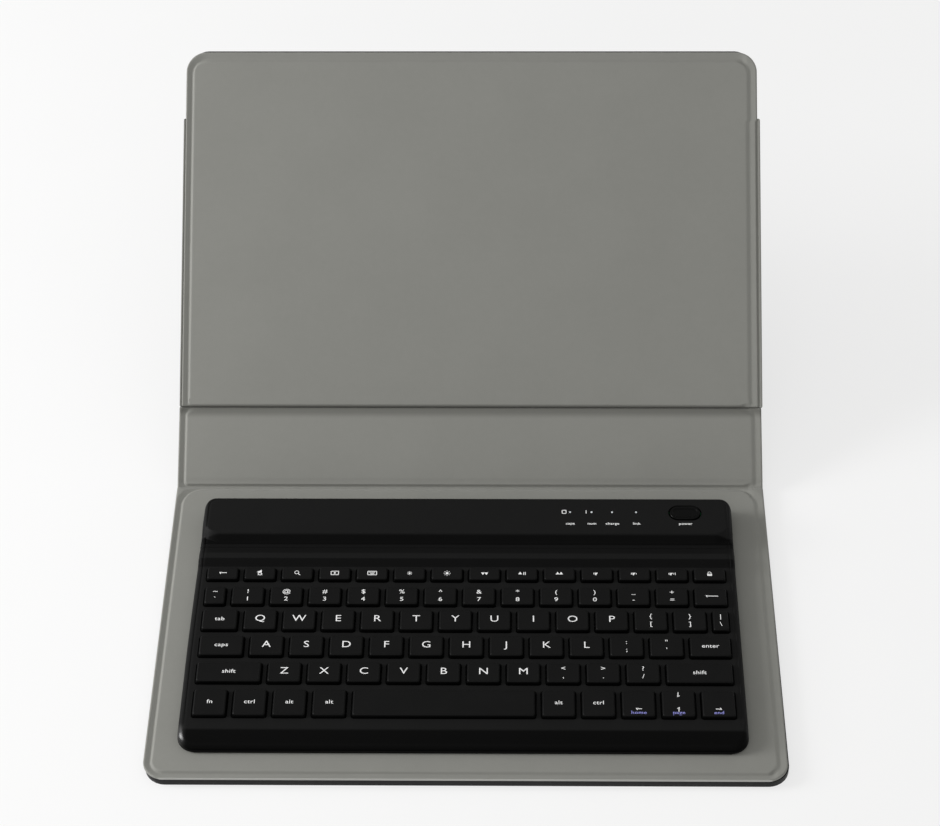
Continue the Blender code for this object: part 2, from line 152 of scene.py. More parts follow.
class Graph:
    """One material's node tree, with a Principled shader to feed."""

    def __init__(self, name: str) -> None:
        """Start a material with only its Principled shader.

        Args:
            name: The material's name.
        """
        self.material = bpy.data.materials.new(name)
        self.material.use_nodes = True
        self.tree = self.material.node_tree
        self.shader = self.tree.nodes["Principled BSDF"]

    def feed(self, socket: bpy.types.NodeSocket, value: object) -> None:
        """Link a signal to a socket, or set a plain value on it.

        Args:
            socket: The input.
            value: A signal, or a plain value.
        """
        if isinstance(value, Signal):
            self.tree.links.new(value.socket, socket)
        else:
            socket.default_value = value

    def node(self, kind: str, settings: dict | None = None, values: dict | None = None) -> bpy.types.Node:
        """Add any node.

        Args:
            kind: The node's type name.
            settings: Its properties, set before its sockets. "stops" gives a colour ramp's stops.
            values: Values or signals for its sockets, by name or by place.

        Returns:
            The new node.
        """
        node = self.tree.nodes.new(kind)
        for key, setting in (settings or {}).items():
            setattr(node, key, setting)
        for key, value in (values or {}).items():
            if isinstance(key, int):
                socket = node.inputs[key]
            else:
                socket = next(s for s in node.inputs if s.name == key and s.enabled)
            self.feed(socket, value)
        return node

    def math(self, operation: str, *values: "Signal | float") -> Signal:
        """Add a Math node on one or two values."""
        node = self.node("ShaderNodeMath", {"operation": operation}, dict(enumerate(values)))
        return Signal(self, node.outputs[0])

    def mix(self, share: Signal, first: object, second: object) -> Signal:
        """Blend two colours by a share from 0 to 1."""
        node = self.node("ShaderNodeMix", {"data_type": "RGBA"}, {"Factor": share, "A": first, "B": second})
        return Signal(self, next(s for s in node.outputs if s.enabled))

    def place(self) -> Signal:
        """Give the object coordinates, in metres in the object's own frame."""
        return Signal(self, self.node("ShaderNodeTexCoord").outputs["Object"])

    def along(self, axis: int) -> Signal:
        """Give the object coordinate along one axis, in metres."""
        node = self.node("ShaderNodeSeparateXYZ", None, {"Vector": self.place()})
        return Signal(self, node.outputs[axis])

    def noise(self, size_mm: float, detail: float = 3.0, roughness: float = 0.5) -> Signal:
        """Give a noise from 0 to 1 whose features are about size_mm across.

        Args:
            size_mm: Width of a feature.
            detail: Number of finer octaves.
            roughness: Their weight.

        Returns:
            The noise signal.
        """
        node = self.node("ShaderNodeTexNoise", None, {
            "Vector": self.place(), "Scale": 1 / (size_mm * MM), "Detail": detail, "Roughness": roughness})
        return Signal(self, node.outputs["Fac"])

    def cells(self, size_mm: float) -> Signal:
        """Give the distance pattern of cells that are about size_mm across."""
        node = self.node("ShaderNodeTexVoronoi", None, {"Vector": self.place(), "Scale": 1 / (size_mm * MM)})
        return Signal(self, node.outputs["Distance"])

    def relief(self, height: Signal, depth_mm: float) -> None:
        """Bump the shader's normal by a height signal that is depth_mm deep from 0 to 1."""
        node = self.node("ShaderNodeBump", None, {"Height": height, "Distance": depth_mm * MM})
        self.tree.links.new(node.outputs["Normal"], self.shader.inputs["Normal"])

    def finish(self, **sockets: object) -> bpy.types.Material:
        """Feed the shader's sockets, named with underscores for spaces, and return the material.

        Args:
            sockets: Values or signals.

        Returns:
            The material.
        """
        for key, value in sockets.items():
            self.feed(self.shader.inputs[key.replace("_", " ")], value)
        return self.material


# -------------------------------------------------------------------- finishes


@dataclass(frozen=True)
class GrainedSkin:
    """Black leathercloth with a fine pebbled grain that is a little paler on its crowns."""

    name: str
    crown: Colour
    valley: Colour
    grain_mm: float
    relief_mm: float
    roughness: float

    def material(self) -> bpy.types.Material:
        """Build the grain, its two tones and the wear that makes it shinier in patches.

        Returns:
            The material.
        """
        graph = Graph(self.name)
        pebbles = graph.cells(self.grain_mm)
        pores = graph.noise(self.grain_mm * 0.4, detail=2)
        height = (1 - pebbles) * 0.8 + pores * 0.2
        wear = graph.noise(28.0, detail=4)
        color = graph.mix(height.ramp(0.35, 0.85), self.valley, self.crown)
        graph.relief(height, self.relief_mm)
        return graph.finish(Base_Color=color, Roughness=wear * -0.16 + (self.roughness + 0.08),
                            Specular_IOR_Level=0.2)


@dataclass(frozen=True)
class SoftLining:
    """Grey padded lining: short fibres and mottling, with a painted highlight along the front edge and painted
    shade along the upper crease.
    """

    name: str
    pale: Colour
    dark: Colour
    # Painted highlight: a pale tone for the front edge's lip, where the edge catches the light.
    painted_edge_highlight: Colour
    # Painted shade: a darker tone for a band just below the upper crease that ends a little above it.
    painted_crease_shade: Colour
    crease_height: float
    fibre_mm: float
    relief_mm: float
    # Span in y, in metres, of the painted highlight on the front edge.
    edge_highlight_span: Span = (-0.08175, -0.0815)
    # How far below the crease's height the painted shade starts and where it is full, in metres.
    crease_shade_fade: Span = (0.0024, 0.0002)

    def material(self) -> bpy.types.Material:
        """Build the fibres, the broad mottling, the painted highlight on the front edge, the painted shade
        along the upper crease and the relief.

        Returns:
            The material.
        """
        graph = Graph(self.name)
        fibres = graph.noise(self.fibre_mm, detail=3, roughness=0.6)
        grain = graph.cells(self.fibre_mm * 2.2)
        blotches = graph.noise(34.0, detail=4)
        flecks = graph.noise(3.0, detail=3)
        shade = blotches * 0.35 + flecks * 0.2 + fibres * 0.45
        body = graph.mix(shade.ramp(0.3, 0.7), self.dark, self.pale)
        level = graph.along(2)
        # Painted shade: this mask rises towards the upper crease's height and falls away just above it.
        crease = level.ramp(*(self.crease_height - fade for fade in self.crease_shade_fade))
        crease = crease * (1 - level.ramp(self.crease_height + 0.0001, self.crease_height + 0.0006))
        # Painted highlight: the front edge's lip takes the pale tone.
        worn = graph.mix(graph.along(1).ramp(*self.edge_highlight_span), self.painted_edge_highlight, body)
        # Painted shade: the band at the upper crease takes the darker tone.
        color = graph.mix(crease, worn, self.painted_crease_shade)
        graph.relief(fibres * 0.55 + grain * 0.45, self.relief_mm)
        return graph.finish(Base_Color=color, Roughness=flecks * 0.12 + 0.62, Sheen_Weight=0.12,
                            Sheen_Roughness=0.45, Specular_IOR_Level=0.35)


@dataclass(frozen=True)
class MouldedPlastic:
    """Moulded plastic with a spark-eroded texture, and a smoother handled look in patches."""

    name: str
    base: Colour
    lighter: Colour
    texture_mm: float
    relief_mm: float
    roughness: float
    specular: float = 0.4

    def material(self) -> bpy.types.Material:
        """Build the texture, the faint tone change and the handled patches.

        Returns:
            The material.
        """
        graph = Graph(self.name)
        texture = graph.noise(self.texture_mm, detail=2)
        handled = graph.noise(16.0, detail=3)
        color = graph.mix(handled * 0.6 + texture * 0.4, self.base, self.lighter)
        graph.relief(texture, self.relief_mm)
        return graph.finish(Base_Color=color, Roughness=handled * 0.14 + (self.roughness - 0.07),
                            Specular_IOR_Level=self.specular)


@dataclass(frozen=True)
class HousingPlastic:
    """Black housing plastic: textured on the deck, with painted shade on its tilted faces, glossier at the
    front corners.
    """

    name: str
    deck: Colour
    lighter: Colour
    # Painted shade for the tilted faces at the front, the ridge, the grooves and the platform's front.
    slope_shade: Colour
    texture_mm: float
    relief_mm: float
    roughness: float
    specular: float
    shaded_slopes: tuple[tuple[float, float, float], ...]
    front_slope: Span = (-0.0618, -0.0602)
    slope_edge: float = 0.0004
    corner_front: Span = (-0.062, -0.057)
    corner_side_squared: Span = (0.0131, 0.0139)
    gloss: float = 0.9
    gloss_roughness: float = 0.3

    def material(self) -> bpy.types.Material:
        """Build the deck's texture, the painted shade on the tilted faces and the glossier front corners.

        Returns:
            The material.
        """
        graph = Graph(self.name)
        texture = graph.noise(self.texture_mm, detail=2)
        handled = graph.noise(16.0, detail=3)
        forward = graph.along(1)
        # Painted shade: a mask of the faces that tilt away from the light, starting with the front.
        slope_shade_share = 1 - forward.ramp(*self.front_slope)
        soft = self.slope_edge
        for start, end, share in self.shaded_slopes:
            band = forward.ramp(start - soft, start + soft) - forward.ramp(end - soft, end + soft)
            slope_shade_share = slope_shade_share + band * share
        deck = graph.mix(handled * 0.6 + texture * 0.4, self.deck, self.lighter)
        # Painted shade: the tilted faces take the dark tone.
        color = graph.mix(slope_shade_share, deck, self.slope_shade)
        graph.relief(texture, self.relief_mm)
        sideways = graph.along(0)
        outer = (sideways * sideways).ramp(*self.corner_side_squared)
        corners = (1 - forward.ramp(*self.corner_front)) * outer
        return graph.finish(Base_Color=color, Roughness=handled * 0.1 + (self.roughness - 0.05),
                            Specular_IOR_Level=self.specular, Coat_Weight=corners * self.gloss,
                            Coat_Roughness=self.gloss_roughness)


@dataclass(frozen=True)
class KeyPlastic:
    """Black key plastic: finely textured and handled on top, with painted shade round the sides below the top.
    """

    name: str
    top: Colour
    lighter: Colour
    skirt_shade: Colour
    texture_mm: float
    relief_mm: float
    roughness: float
    specular: float
    skirt_top: Span = (0.0111, 0.0115)

    def material(self) -> bpy.types.Material:
        """Build the top's texture and the painted shade on the sides.

        Returns:
            The material.
        """
        graph = Graph(self.name)
        texture = graph.noise(self.texture_mm, detail=2)
        handled = graph.noise(12.0, detail=3)
        # Painted shade: below the rounded top edge the sides take a near-black tone.
        crown = graph.along(2).ramp(*self.skirt_top)
        color = graph.mix(crown, self.skirt_shade, graph.mix(handled * 0.7 + texture * 0.3, self.top, self.lighter))
        graph.relief(texture, self.relief_mm)
        return graph.finish(Base_Color=color, Roughness=handled * 0.12 + (self.roughness - 0.06),
                            Specular_IOR_Level=self.specular)


@dataclass(frozen=True)
class Ink:
    """Printed ink, slightly uneven and very slightly raised."""

    name: str
    fresh: Colour
    worn: Colour

    def material(self) -> bpy.types.Material:
        """Build the uneven coverage.

        Returns:
            The material.
        """
        graph = Graph(self.name)
        coverage = graph.noise(0.5, detail=3)
        color = graph.mix(coverage.ramp(0.25, 0.5), self.worn, self.fresh)
        graph.relief(coverage, 0.01)
        return graph.finish(Base_Color=color, Roughness=coverage * 0.2 + 0.4)


@dataclass(frozen=True)
class PressedBoard:
    """Fibre board or felt: matted fibres in two tones."""

    name: str
    pale: Colour
    dark: Colour

    def material(self) -> bpy.types.Material:
        """Build long and short fibres.

        Returns:
            The material.
        """
        graph = Graph(self.name)
        stretched = graph.node("ShaderNodeMapping", None, {
            "Vector": graph.place(), "Scale": (0.35, 1.0, 1.0)})
        strands = graph.node("ShaderNodeTexNoise", None, {
            "Vector": Signal(graph, stretched.outputs["Vector"]), "Scale": 1400.0, "Detail": 4.0})
        fibres = Signal(graph, strands.outputs["Fac"])
        color = graph.mix(fibres.ramp(0.35, 0.65), self.dark, self.pale)
        graph.relief(fibres, 0.06)
        return graph.finish(Base_Color=color, Roughness=fibres * 0.1 + 0.8)


@dataclass(frozen=True)
class CircuitLaminate:
    """Green circuit board with copper tracks under the mask and bare tinned pads."""

    name: str
    mask: Colour
    track: Colour
    pad: Colour

    def material(self) -> bpy.types.Material:
        """Build square-cornered tracks and round pads.

        Returns:
            The material.
        """
        graph = Graph(self.name)
        routes = graph.node("ShaderNodeTexVoronoi", {"distance": "MANHATTAN", "feature": "DISTANCE_TO_EDGE"},
                            {"Vector": graph.place(), "Scale": 260.0})
        track = 1 - Signal(graph, routes.outputs["Distance"]).ramp(0.05, 0.08)
        pads = 1 - graph.cells(3.2).ramp(0.16, 0.19)
        masked = graph.mix(track, self.mask, self.track)
        color = graph.mix(pads, masked, self.pad)
        graph.relief(track * 0.5 + pads, 0.04)
        return graph.finish(Base_Color=color, Metallic=pads * 0.9, Roughness=0.42 - pads * 0.14)


@dataclass(frozen=True)
class BrushedMetal:
    """Thin stamped metal with a drawn grain."""

    name: str
    bright: Colour
    dull: Colour

    def material(self) -> bpy.types.Material:
        """Build streaks along Y and faint stains.

        Returns:
            The material.
        """
        graph = Graph(self.name)
        along = graph.node("ShaderNodeMapping", None, {"Vector": graph.place(), "Scale": (1.0, 0.06, 1.0)})
        lines = graph.node("ShaderNodeTexNoise", None, {
            "Vector": Signal(graph, along.outputs["Vector"]), "Scale": 6000.0, "Detail": 3.0})
        streaks = Signal(graph, lines.outputs["Fac"])
        stains = graph.noise(4.0)
        color = graph.mix(streaks * 0.5 + stains * 0.5, self.dull, self.bright)
        graph.relief(streaks, 0.01)
        return graph.finish(Base_Color=color, Metallic=1.0, Roughness=streaks * 0.2 + 0.2)


@dataclass(frozen=True)
class PaleFloor:
    """A plain pale sweep with hardly any structure."""

    name: str
    pale: Colour
    shaded: Colour
    glow: float

    def material(self) -> bpy.types.Material:
        """Build the paper's faint cloudiness; it also glows a little, like a sweep lit from behind.

        Returns:
            The material.
        """
        graph = Graph(self.name)
        clouds = graph.noise(60.0)
        return graph.finish(Base_Color=graph.mix(clouds, self.shaded, self.pale),
                            Roughness=clouds * 0.1 + 0.8, Emission_Color=(1.0, 1.0, 1.0, 1.0),
                            Emission_Strength=self.glow)


class Palette:
    """Every finish of the object, built once."""

    def __init__(self) -> None:
        """Build each material."""
        self.skin = GrainedSkin("black_leathercloth", tone(28, 28, 28), tone(15, 15, 15),
                                0.55, 0.07, 0.5).material()
        crease_height = node_box("spine_lining")[1].z * MM
        # The lining's third tone is a painted highlight for the front edge; its fourth is painted shade for
        # the upper crease.
        self.lining = SoftLining("grey_lining", tone(135, 135, 130), tone(130, 130, 125), tone(172, 172, 168),
                                 tone(103, 103, 98), crease_height, 0.22, 0.03).material()
        # Each band runs from one y to another, in metres, with its share of the dark tone, which is painted
        # shade on faces that tilt away from the light.
        ridge, grooves, platform = (0.0281, 0.0323, 0.75), (0.0353, 0.0405, 0.5), (0.0405, 0.0443, 1.0)
        self.housing = HousingPlastic("housing_plastic", tone(23, 23, 23), tone(27, 27, 27), tone(6, 6, 6),
                                      0.28, 0.014, 0.5, 0.05, (ridge, grooves, platform)).material()
        self.base = MouldedPlastic("base_plastic", tone(5, 5, 5), tone(9, 9, 9),
                                   0.6, 0.04, 0.5, 0.1).material()
        # The key plastic's third tone is painted shade for the sides.
        self.key = KeyPlastic("key_plastic", tone(17, 17, 17), tone(23, 23, 23), tone(3, 3, 3),
                              0.2, 0.01, 0.42, 0.06).material()
        self.button = MouldedPlastic("button_plastic", tone(3, 3, 3), tone(6, 6, 6),
                                     0.2, 0.006, 0.25, 0.09).material()
        self.ink = Ink("white_ink", tone(250, 250, 250), tone(214, 214, 216)).material()
        self.second_ink = Ink("violet_ink", tone(150, 150, 226), tone(120, 120, 190)).material()
        self.board = PressedBoard("grey_board", tone(158, 152, 142), tone(122, 116, 108)).material()
        self.felt = PressedBoard("black_felt", tone(44, 44, 45), tone(24, 24, 25)).material()
        self.circuit = CircuitLaminate("circuit_board", tone(20, 92, 52), tone(44, 128, 78),
                                       tone(200, 190, 160)).material()
        # The membrane's dark tone also stands in as painted shade in the gaps round the keys.
        self.membrane = MouldedPlastic("membrane_sheet", tone(20, 20, 21), tone(27, 27, 28),
                                       0.8, 0.03, 0.5).material()
        self.wrap = MouldedPlastic("battery_wrap", tone(150, 153, 158), tone(178, 181, 186),
                                   2.4, 0.12, 0.32).material()
        self.metal = BrushedMetal("socket_metal", tone(206, 206, 208), tone(160, 160, 164)).material()
        self.light = MouldedPlastic("light_guide", tone(206, 212, 216), tone(226, 230, 234),
                                    1.0, 0.01, 0.18).material()
        self.rubber = MouldedPlastic("magnet_rubber", tone(34, 34, 34), tone(46, 46, 46),
                                     0.35, 0.05, 0.82).material()
        self.floor = PaleFloor("studio_floor", tone(138, 138, 138), tone(135, 135, 135), 0.68).material()


# -------------------------------------------------------------- shape helpers


@dataclass(frozen=True)
class RoundRect:
    """A rectangle with round corners on the flat pattern or on a level plan."""

    x_low: float
    x_high: float
    s_low: float
    s_high: float
    front_radius: float
    rear_radius: float

    def inset(self, amount: float) -> "RoundRect":
        """Shrink the outline by the same amount on every side."""
        return RoundRect(self.x_low + amount, self.x_high - amount, self.s_low + amount, self.s_high - amount,
                         max(self.front_radius - amount, 0.3), max(self.rear_radius - amount, 0.3))

    def depth_at(self, x: float, s: float) -> float:
        """Return how far a point lies inside the outline; outside it the value is negative.

        Args:
            x: Place across.
            s: Place along the pattern.

        Returns:
            The depth, in millimetres.
        """
        middle = (self.s_low + self.s_high) / 2
        radius = self.front_radius if s < middle else self.rear_radius
        across = abs(x - (self.x_low + self.x_high) / 2) - ((self.x_high - self.x_low) / 2 - radius)
        along = abs(s - middle) - ((self.s_high - self.s_low) / 2 - radius)
        return radius - math.hypot(max(across, 0.0), max(along, 0.0)) - min(max(across, along), 0.0)

    def corner_planes(self, segments: int) -> Iterable[tuple[Vector, Vector, float]]:
        """Yield a point, an outward normal and the radius for each flat of each round corner.

        Args:
            segments: Flats in each corner.

        Returns:
            The flats, one after another.
        """
        ends = ((self.front_radius, self.s_low, -1), (self.rear_radius, self.s_high, 1))
        for radius, s_edge, s_sign in ends:
            for x_edge, x_sign in ((self.x_low, -1), (self.x_high, 1)):
                centre = Vector((x_edge - x_sign * radius, s_edge - s_sign * radius, 0))
                for step in range(segments):
                    angle = math.radians(90) * (step + 0.5) / segments
                    normal = Vector((x_sign * math.cos(angle), s_sign * math.sin(angle), 0))
                    yield centre + normal * radius, normal, radius


def ease(share: float) -> float:
    """Run smoothly from 0 to 1, level at both ends."""
    share = min(max(share, 0.0), 1.0)
    return share * share * (3 - 2 * share)


def near_edge(place: float, edge: float, zone: Span) -> float:
    """Run from 0 to 1 towards a high edge; the zone gives its start before the edge and its length."""
    return ease((place - edge + zone[0]) / zone[1])


def bump(place: float, centre: float, half: float) -> float:
    """Give a bell-shaped rise, 1 at the centre, that falls away over its half width."""
    return math.exp(-(((place - centre) / half) ** 2))


def roll(depth: float, radius: float) -> float:
    """Return how far a rounded edge has dropped at a depth inside the outline."""
    short = radius - min(max(depth, 0.0), radius)
    return radius - math.sqrt(max(radius * radius - short * short, 0.0))


def stations(span: Span, zones: Sequence[Span], fine: float,
             coarse: float) -> list[float]:
    """List places along a span, close together inside the zones and far apart elsewhere.

    Args:
        span: First and last place.
        zones: Spans that need a fine step.
        fine: Step inside the zones.
        coarse: Step elsewhere.

    Returns:
        The places, in order.
    """
    inside = [min(max(end, span[0]), span[1]) for zone in zones for end in zone]
    ends = sorted({round(end, 4) for end in (*span, *inside)})
    places = [ends[0]]
    for low, high in zip(ends, ends[1:]):
        middle = (low + high) / 2
        step = fine if any(zone[0] <= middle <= zone[1] for zone in zones) else coarse
        count = max(1, math.ceil((high - low) / step))
        places += [low + (high - low) * index / count for index in range(1, count + 1)]
    return places


def make_grid(xs: Sequence[float], ss: Sequence[float]) -> Shape:
    """Make a level grid whose lines run through the given places.

    Args:
        xs: Places of the lines, from left to right.
        ss: Places of the lines, from front to rear.

    Returns:
        The grid.
    """
    shape = bmesh.new()
    columns, rows = len(xs) - 1, len(ss) - 1
    bmesh.ops.create_grid(shape, x_segments=columns, y_segments=rows, size=0.5)
    for vert in shape.verts:
        vert.co = Vector((xs[round((vert.co.x + 0.5) * columns)], ss[round((vert.co.y + 0.5) * rows)], 0.0))
    return shape


def cut_corners(shape: Shape, outline: RoundRect, segments: int, clear: bool = True) -> None:
    """Cut a flat shape along the round corners of an outline.

    Args:
        shape: The flat shape.
        outline: Its outline, or an outline to score on it.
        segments: Flats in each corner.
        clear: Whether what lies outside the corners is removed.
    """
    for point, normal, radius in outline.corner_planes(segments):
        reach = radius * 1.5 + 1
        near = [f for f in shape.faces if any((v.co - point).length < reach for v in f.verts)
                or (f.calc_center_median() - point).length < reach + 25]
        if not near:
            continue
        edges = {e for f in near for e in f.edges}
        verts = {v for f in near for v in f.verts}
        bmesh.ops.bisect_plane(shape, geom=[*verts, *edges, *near], plane_co=point, plane_no=normal,
                               clear_outer=clear, dist=1e-4)
    bmesh.ops.remove_doubles(shape, verts=shape.verts, dist=1e-3)


def thicken(shape: Shape, top: Callable[[float, float], float],
            bottom: Callable[[float, float], float]) -> None:
    """Turn a flat sheet into a closed body with a shaped top and underside.

    Args:
        shape: The flat sheet.
        top: Height of the top over a point of the plan.
        bottom: Height of the underside over a point of the plan.
    """
    under = list(shape.verts)
    raised = bmesh.ops.extrude_face_region(shape, geom=shape.faces[:])["geom"]
    for vert in raised:
        if isinstance(vert, bmesh.types.BMVert):
            vert.co.z = top(vert.co.x, vert.co.y)
    for vert in under:
        vert.co.z = bottom(vert.co.x, vert.co.y)
    bmesh.ops.recalc_face_normals(shape, faces=shape.faces)


def sink(shape: Shape, pocket: RoundRect, level: float, floor: float) -> None:
    """Press the faces inside a pocket's outline, at a level, down to the pocket's floor.

    Args:
        shape: The shape in hand.
        pocket: The pocket's outline.
        level: Height of the faces.
        floor: Height of the pocket's floor.
    """
    faces = [f for f in shape.faces if f.normal.z > 0.9 and abs(f.calc_center_median().z - level) < 0.05
             and pocket.depth_at(*f.calc_center_median().xy) > 0]
    pressed = bmesh.ops.extrude_face_region(shape, geom=faces)["geom"]
    bmesh.ops.delete(shape, geom=[f for f in faces if f.is_valid], context="FACES_ONLY")
    for vert in pressed:
        if isinstance(vert, bmesh.types.BMVert):
            vert.co.z = floor


def bevel(shape: Shape, edges: Sequence[bmesh.types.BMEdge], offset: float, segments: int) -> None:
    """Round edges by an offset in a number of steps."""
    bmesh.ops.bevel(shape, geom=list(edges), affect="EDGES", offset=offset, segments=segments, profile=0.5,
                    material=-1, clamp_overlap=True)


def add_box(shape: Shape, x_span: Sequence[float], y_span: Sequence[float],
            z_span: Sequence[float]) -> list[bmesh.types.BMVert]:
    """Add a box and return its vertices.

    Args:
        shape: The shape in hand.
        x_span: From left to right.
        y_span: From front to rear.
        z_span: From bottom to top.

    Returns:
        The box's corners.
    """
    spans = (x_span, y_span, z_span)
    size = [high - low for low, high in spans]
    centre = [(high + low) / 2 for low, high in spans]
    matrix = Matrix.Translation(centre) @ Matrix.Diagonal((*size, 1.0))
    return bmesh.ops.create_cube(shape, size=1.0, matrix=matrix)["verts"]


def is_upright(edge: bmesh.types.BMEdge) -> bool:
    """Tell whether an edge stands straight up."""
    first, second = (vert.co for vert in edge.verts)
    return abs(first.x - second.x) < 1e-4 and abs(first.y - second.y) < 1e-4


def finish_piece(shape: Shape, name: str, material: bpy.types.Material,
                 sharp_deg: float = SHARP_DEG) -> Piece:
    """Turn a shape in millimetres into a named piece in the row frame.

    Args:
        shape: The shape, which is used up.
        name: The piece's name.
        material: Its finish.
        sharp_deg: Edges that turn by more than this stay sharp.

    Returns:
        The new object, at the origin.
    """
    bmesh.ops.scale(shape, vec=(MM, MM, MM), verts=shape.verts)
    mesh = bpy.data.meshes.new(name)
    shape.to_mesh(mesh)
    shape.free()
    mesh.materials.append(material)
    mesh.shade_smooth()
    mesh.set_sharp_from_angle(angle=math.radians(sharp_deg))
    piece = bpy.data.objects.new(name, mesh)
    bpy.context.scene.collection.objects.link(piece)
    LOG.info("%s: %d faces", name, len(mesh.polygons))
    return piece


def carve(piece: Piece, cutters: Sequence[Shape]) -> None:
    """Cut shapes in millimetres out of a finished piece, one after another.

    Args:
        piece: The finished piece.
        cutters: Shapes to take away, which are used up.
    """
    for index, cutter in enumerate(cutters):
        tool = finish_piece(cutter, f"{piece.name}_cutter_{index}", piece.data.materials[0])
        change = piece.modifiers.new("cut", "BOOLEAN")
        change.object = tool
        change.operation = "DIFFERENCE"
        change.solver = "EXACT"
        evaluated = piece.evaluated_get(bpy.context.evaluated_depsgraph_get())
        mesh = bpy.data.meshes.new_from_object(evaluated)
        piece.modifiers.clear()
        piece.data = mesh
        bpy.data.objects.remove(tool)
    mesh.name = piece.name
    mesh.shade_smooth()
    mesh.set_sharp_from_angle(angle=math.radians(SHARP_DEG))


def node_box(node: str) -> tuple[Vector, Vector]:
    """Return a CAD node's corners in millimetres."""
    low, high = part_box(node)
    return low / MM, high / MM


# ------------------------------------------------------------------- the folds


@dataclass(frozen=True)
class FoldPlan:
    """Where the cover folds, and how a point of the flat pattern lies once it is folded."""

    lower: Vector
    upper: Vector
    hinge: Vector
    rear_tilt: float
    reach: float = 3.6

    @classmethod
    def from_frame(cls, packed: dict) -> "FoldPlan":
        """Read the creases from the joints, and the rear tilt from the tablet's resting face.

        Args:
            packed: The loaded frame.

        Returns:
            The plan.
        """
        place = {joint["name"]: Vector(joint["pos_m"]) / MM for joint in packed["joints"] if "pos_m" in joint}
        face = next(m for m in packed["record"]["mounts"] if m["name"] == "tablet_face")
        return cls(place["lower_fold"], place["upper_fold"], place["plate_hinge"],
                   math.atan2(-face["axis"][1], face["axis"][2]))

    @property
    def spine_tilt(self) -> float:
        """Angle of the spine above the table."""
        rise = self.upper - self.lower
        return math.atan2(rise.z, rise.y)

    @property
    def spine_depth(self) -> float:
        """Distance between the two creases."""
        return (self.upper - self.lower).length

    @property
    def hinge_place(self) -> float:
        """Where the plate's hinge lies on the flat pattern."""
        along = Vector((0, math.cos(self.rear_tilt), math.sin(self.rear_tilt)))
        return self.spine_depth + (self.hinge - self.upper).dot(along)

    def share(self, s: float, crease: float) -> float:
        """Return how much of a crease's turn a point has taken."""
        return ease((s - crease + self.reach) / (2 * self.reach))

    def fold(self, point: Vector) -> Vector:
        """Fold one point (x, s, h) of the flat pattern into the row frame, in millimetres.

        Args:
            point: Point of the flat pattern.

        Returns:
            The folded point.
        """
        turn = (self.rear_tilt - self.spine_tilt) * self.share(point.y, self.spine_depth)
        along = point.y - self.spine_depth
        y = self.spine_depth + along * math.cos(turn) - point.z * math.sin(turn)
        z = along * math.sin(turn) + point.z * math.cos(turn)
        bend = self.spine_tilt * self.share(point.y, 0.0)
        return Vector((point.x, self.lower.y + y * math.cos(bend) - z * math.sin(bend),
                       self.lower.z + y * math.sin(bend) + z * math.cos(bend)))

    def fold_shape(self, shape: Shape) -> None:
        """Fold a whole shape."""
        for vert in shape.verts:
            vert.co = self.fold(vert.co)

    def bend(self, piece: Piece, bodies: tuple[str, str], crease: float, level: float,
             reach: float | None = None) -> None:
        """Make a folded piece bend with the joint at a crease, at the level of its middle.

        Args:
            piece: The finished piece.
            bodies: Not used.
            crease: Place of the fold.
            level: Height of its middle on the pattern.
            reach: How far the bend runs on either side.
        """
        reach = reach or self.reach
        start, end = (self.fold(Vector((0, crease + side * reach, level))) * MM for side in (-1, 1))
        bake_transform(piece)


@dataclass
class Panels:
    """Shared sizes of the cover's panels on the flat pattern."""

    plan: FoldPlan
    half_width: float = 132.0
    depth: float = 165.0
    thickness: float = 4.3
    front_corner: float = 9.0
    top_corner: float = 9.5

    @property
    def top(self) -> float:
        """Where the pattern ends, at the plate's top edge."""
        return self.plan.spine_depth + self.depth


# ----------------------------------------------------------------- the linings


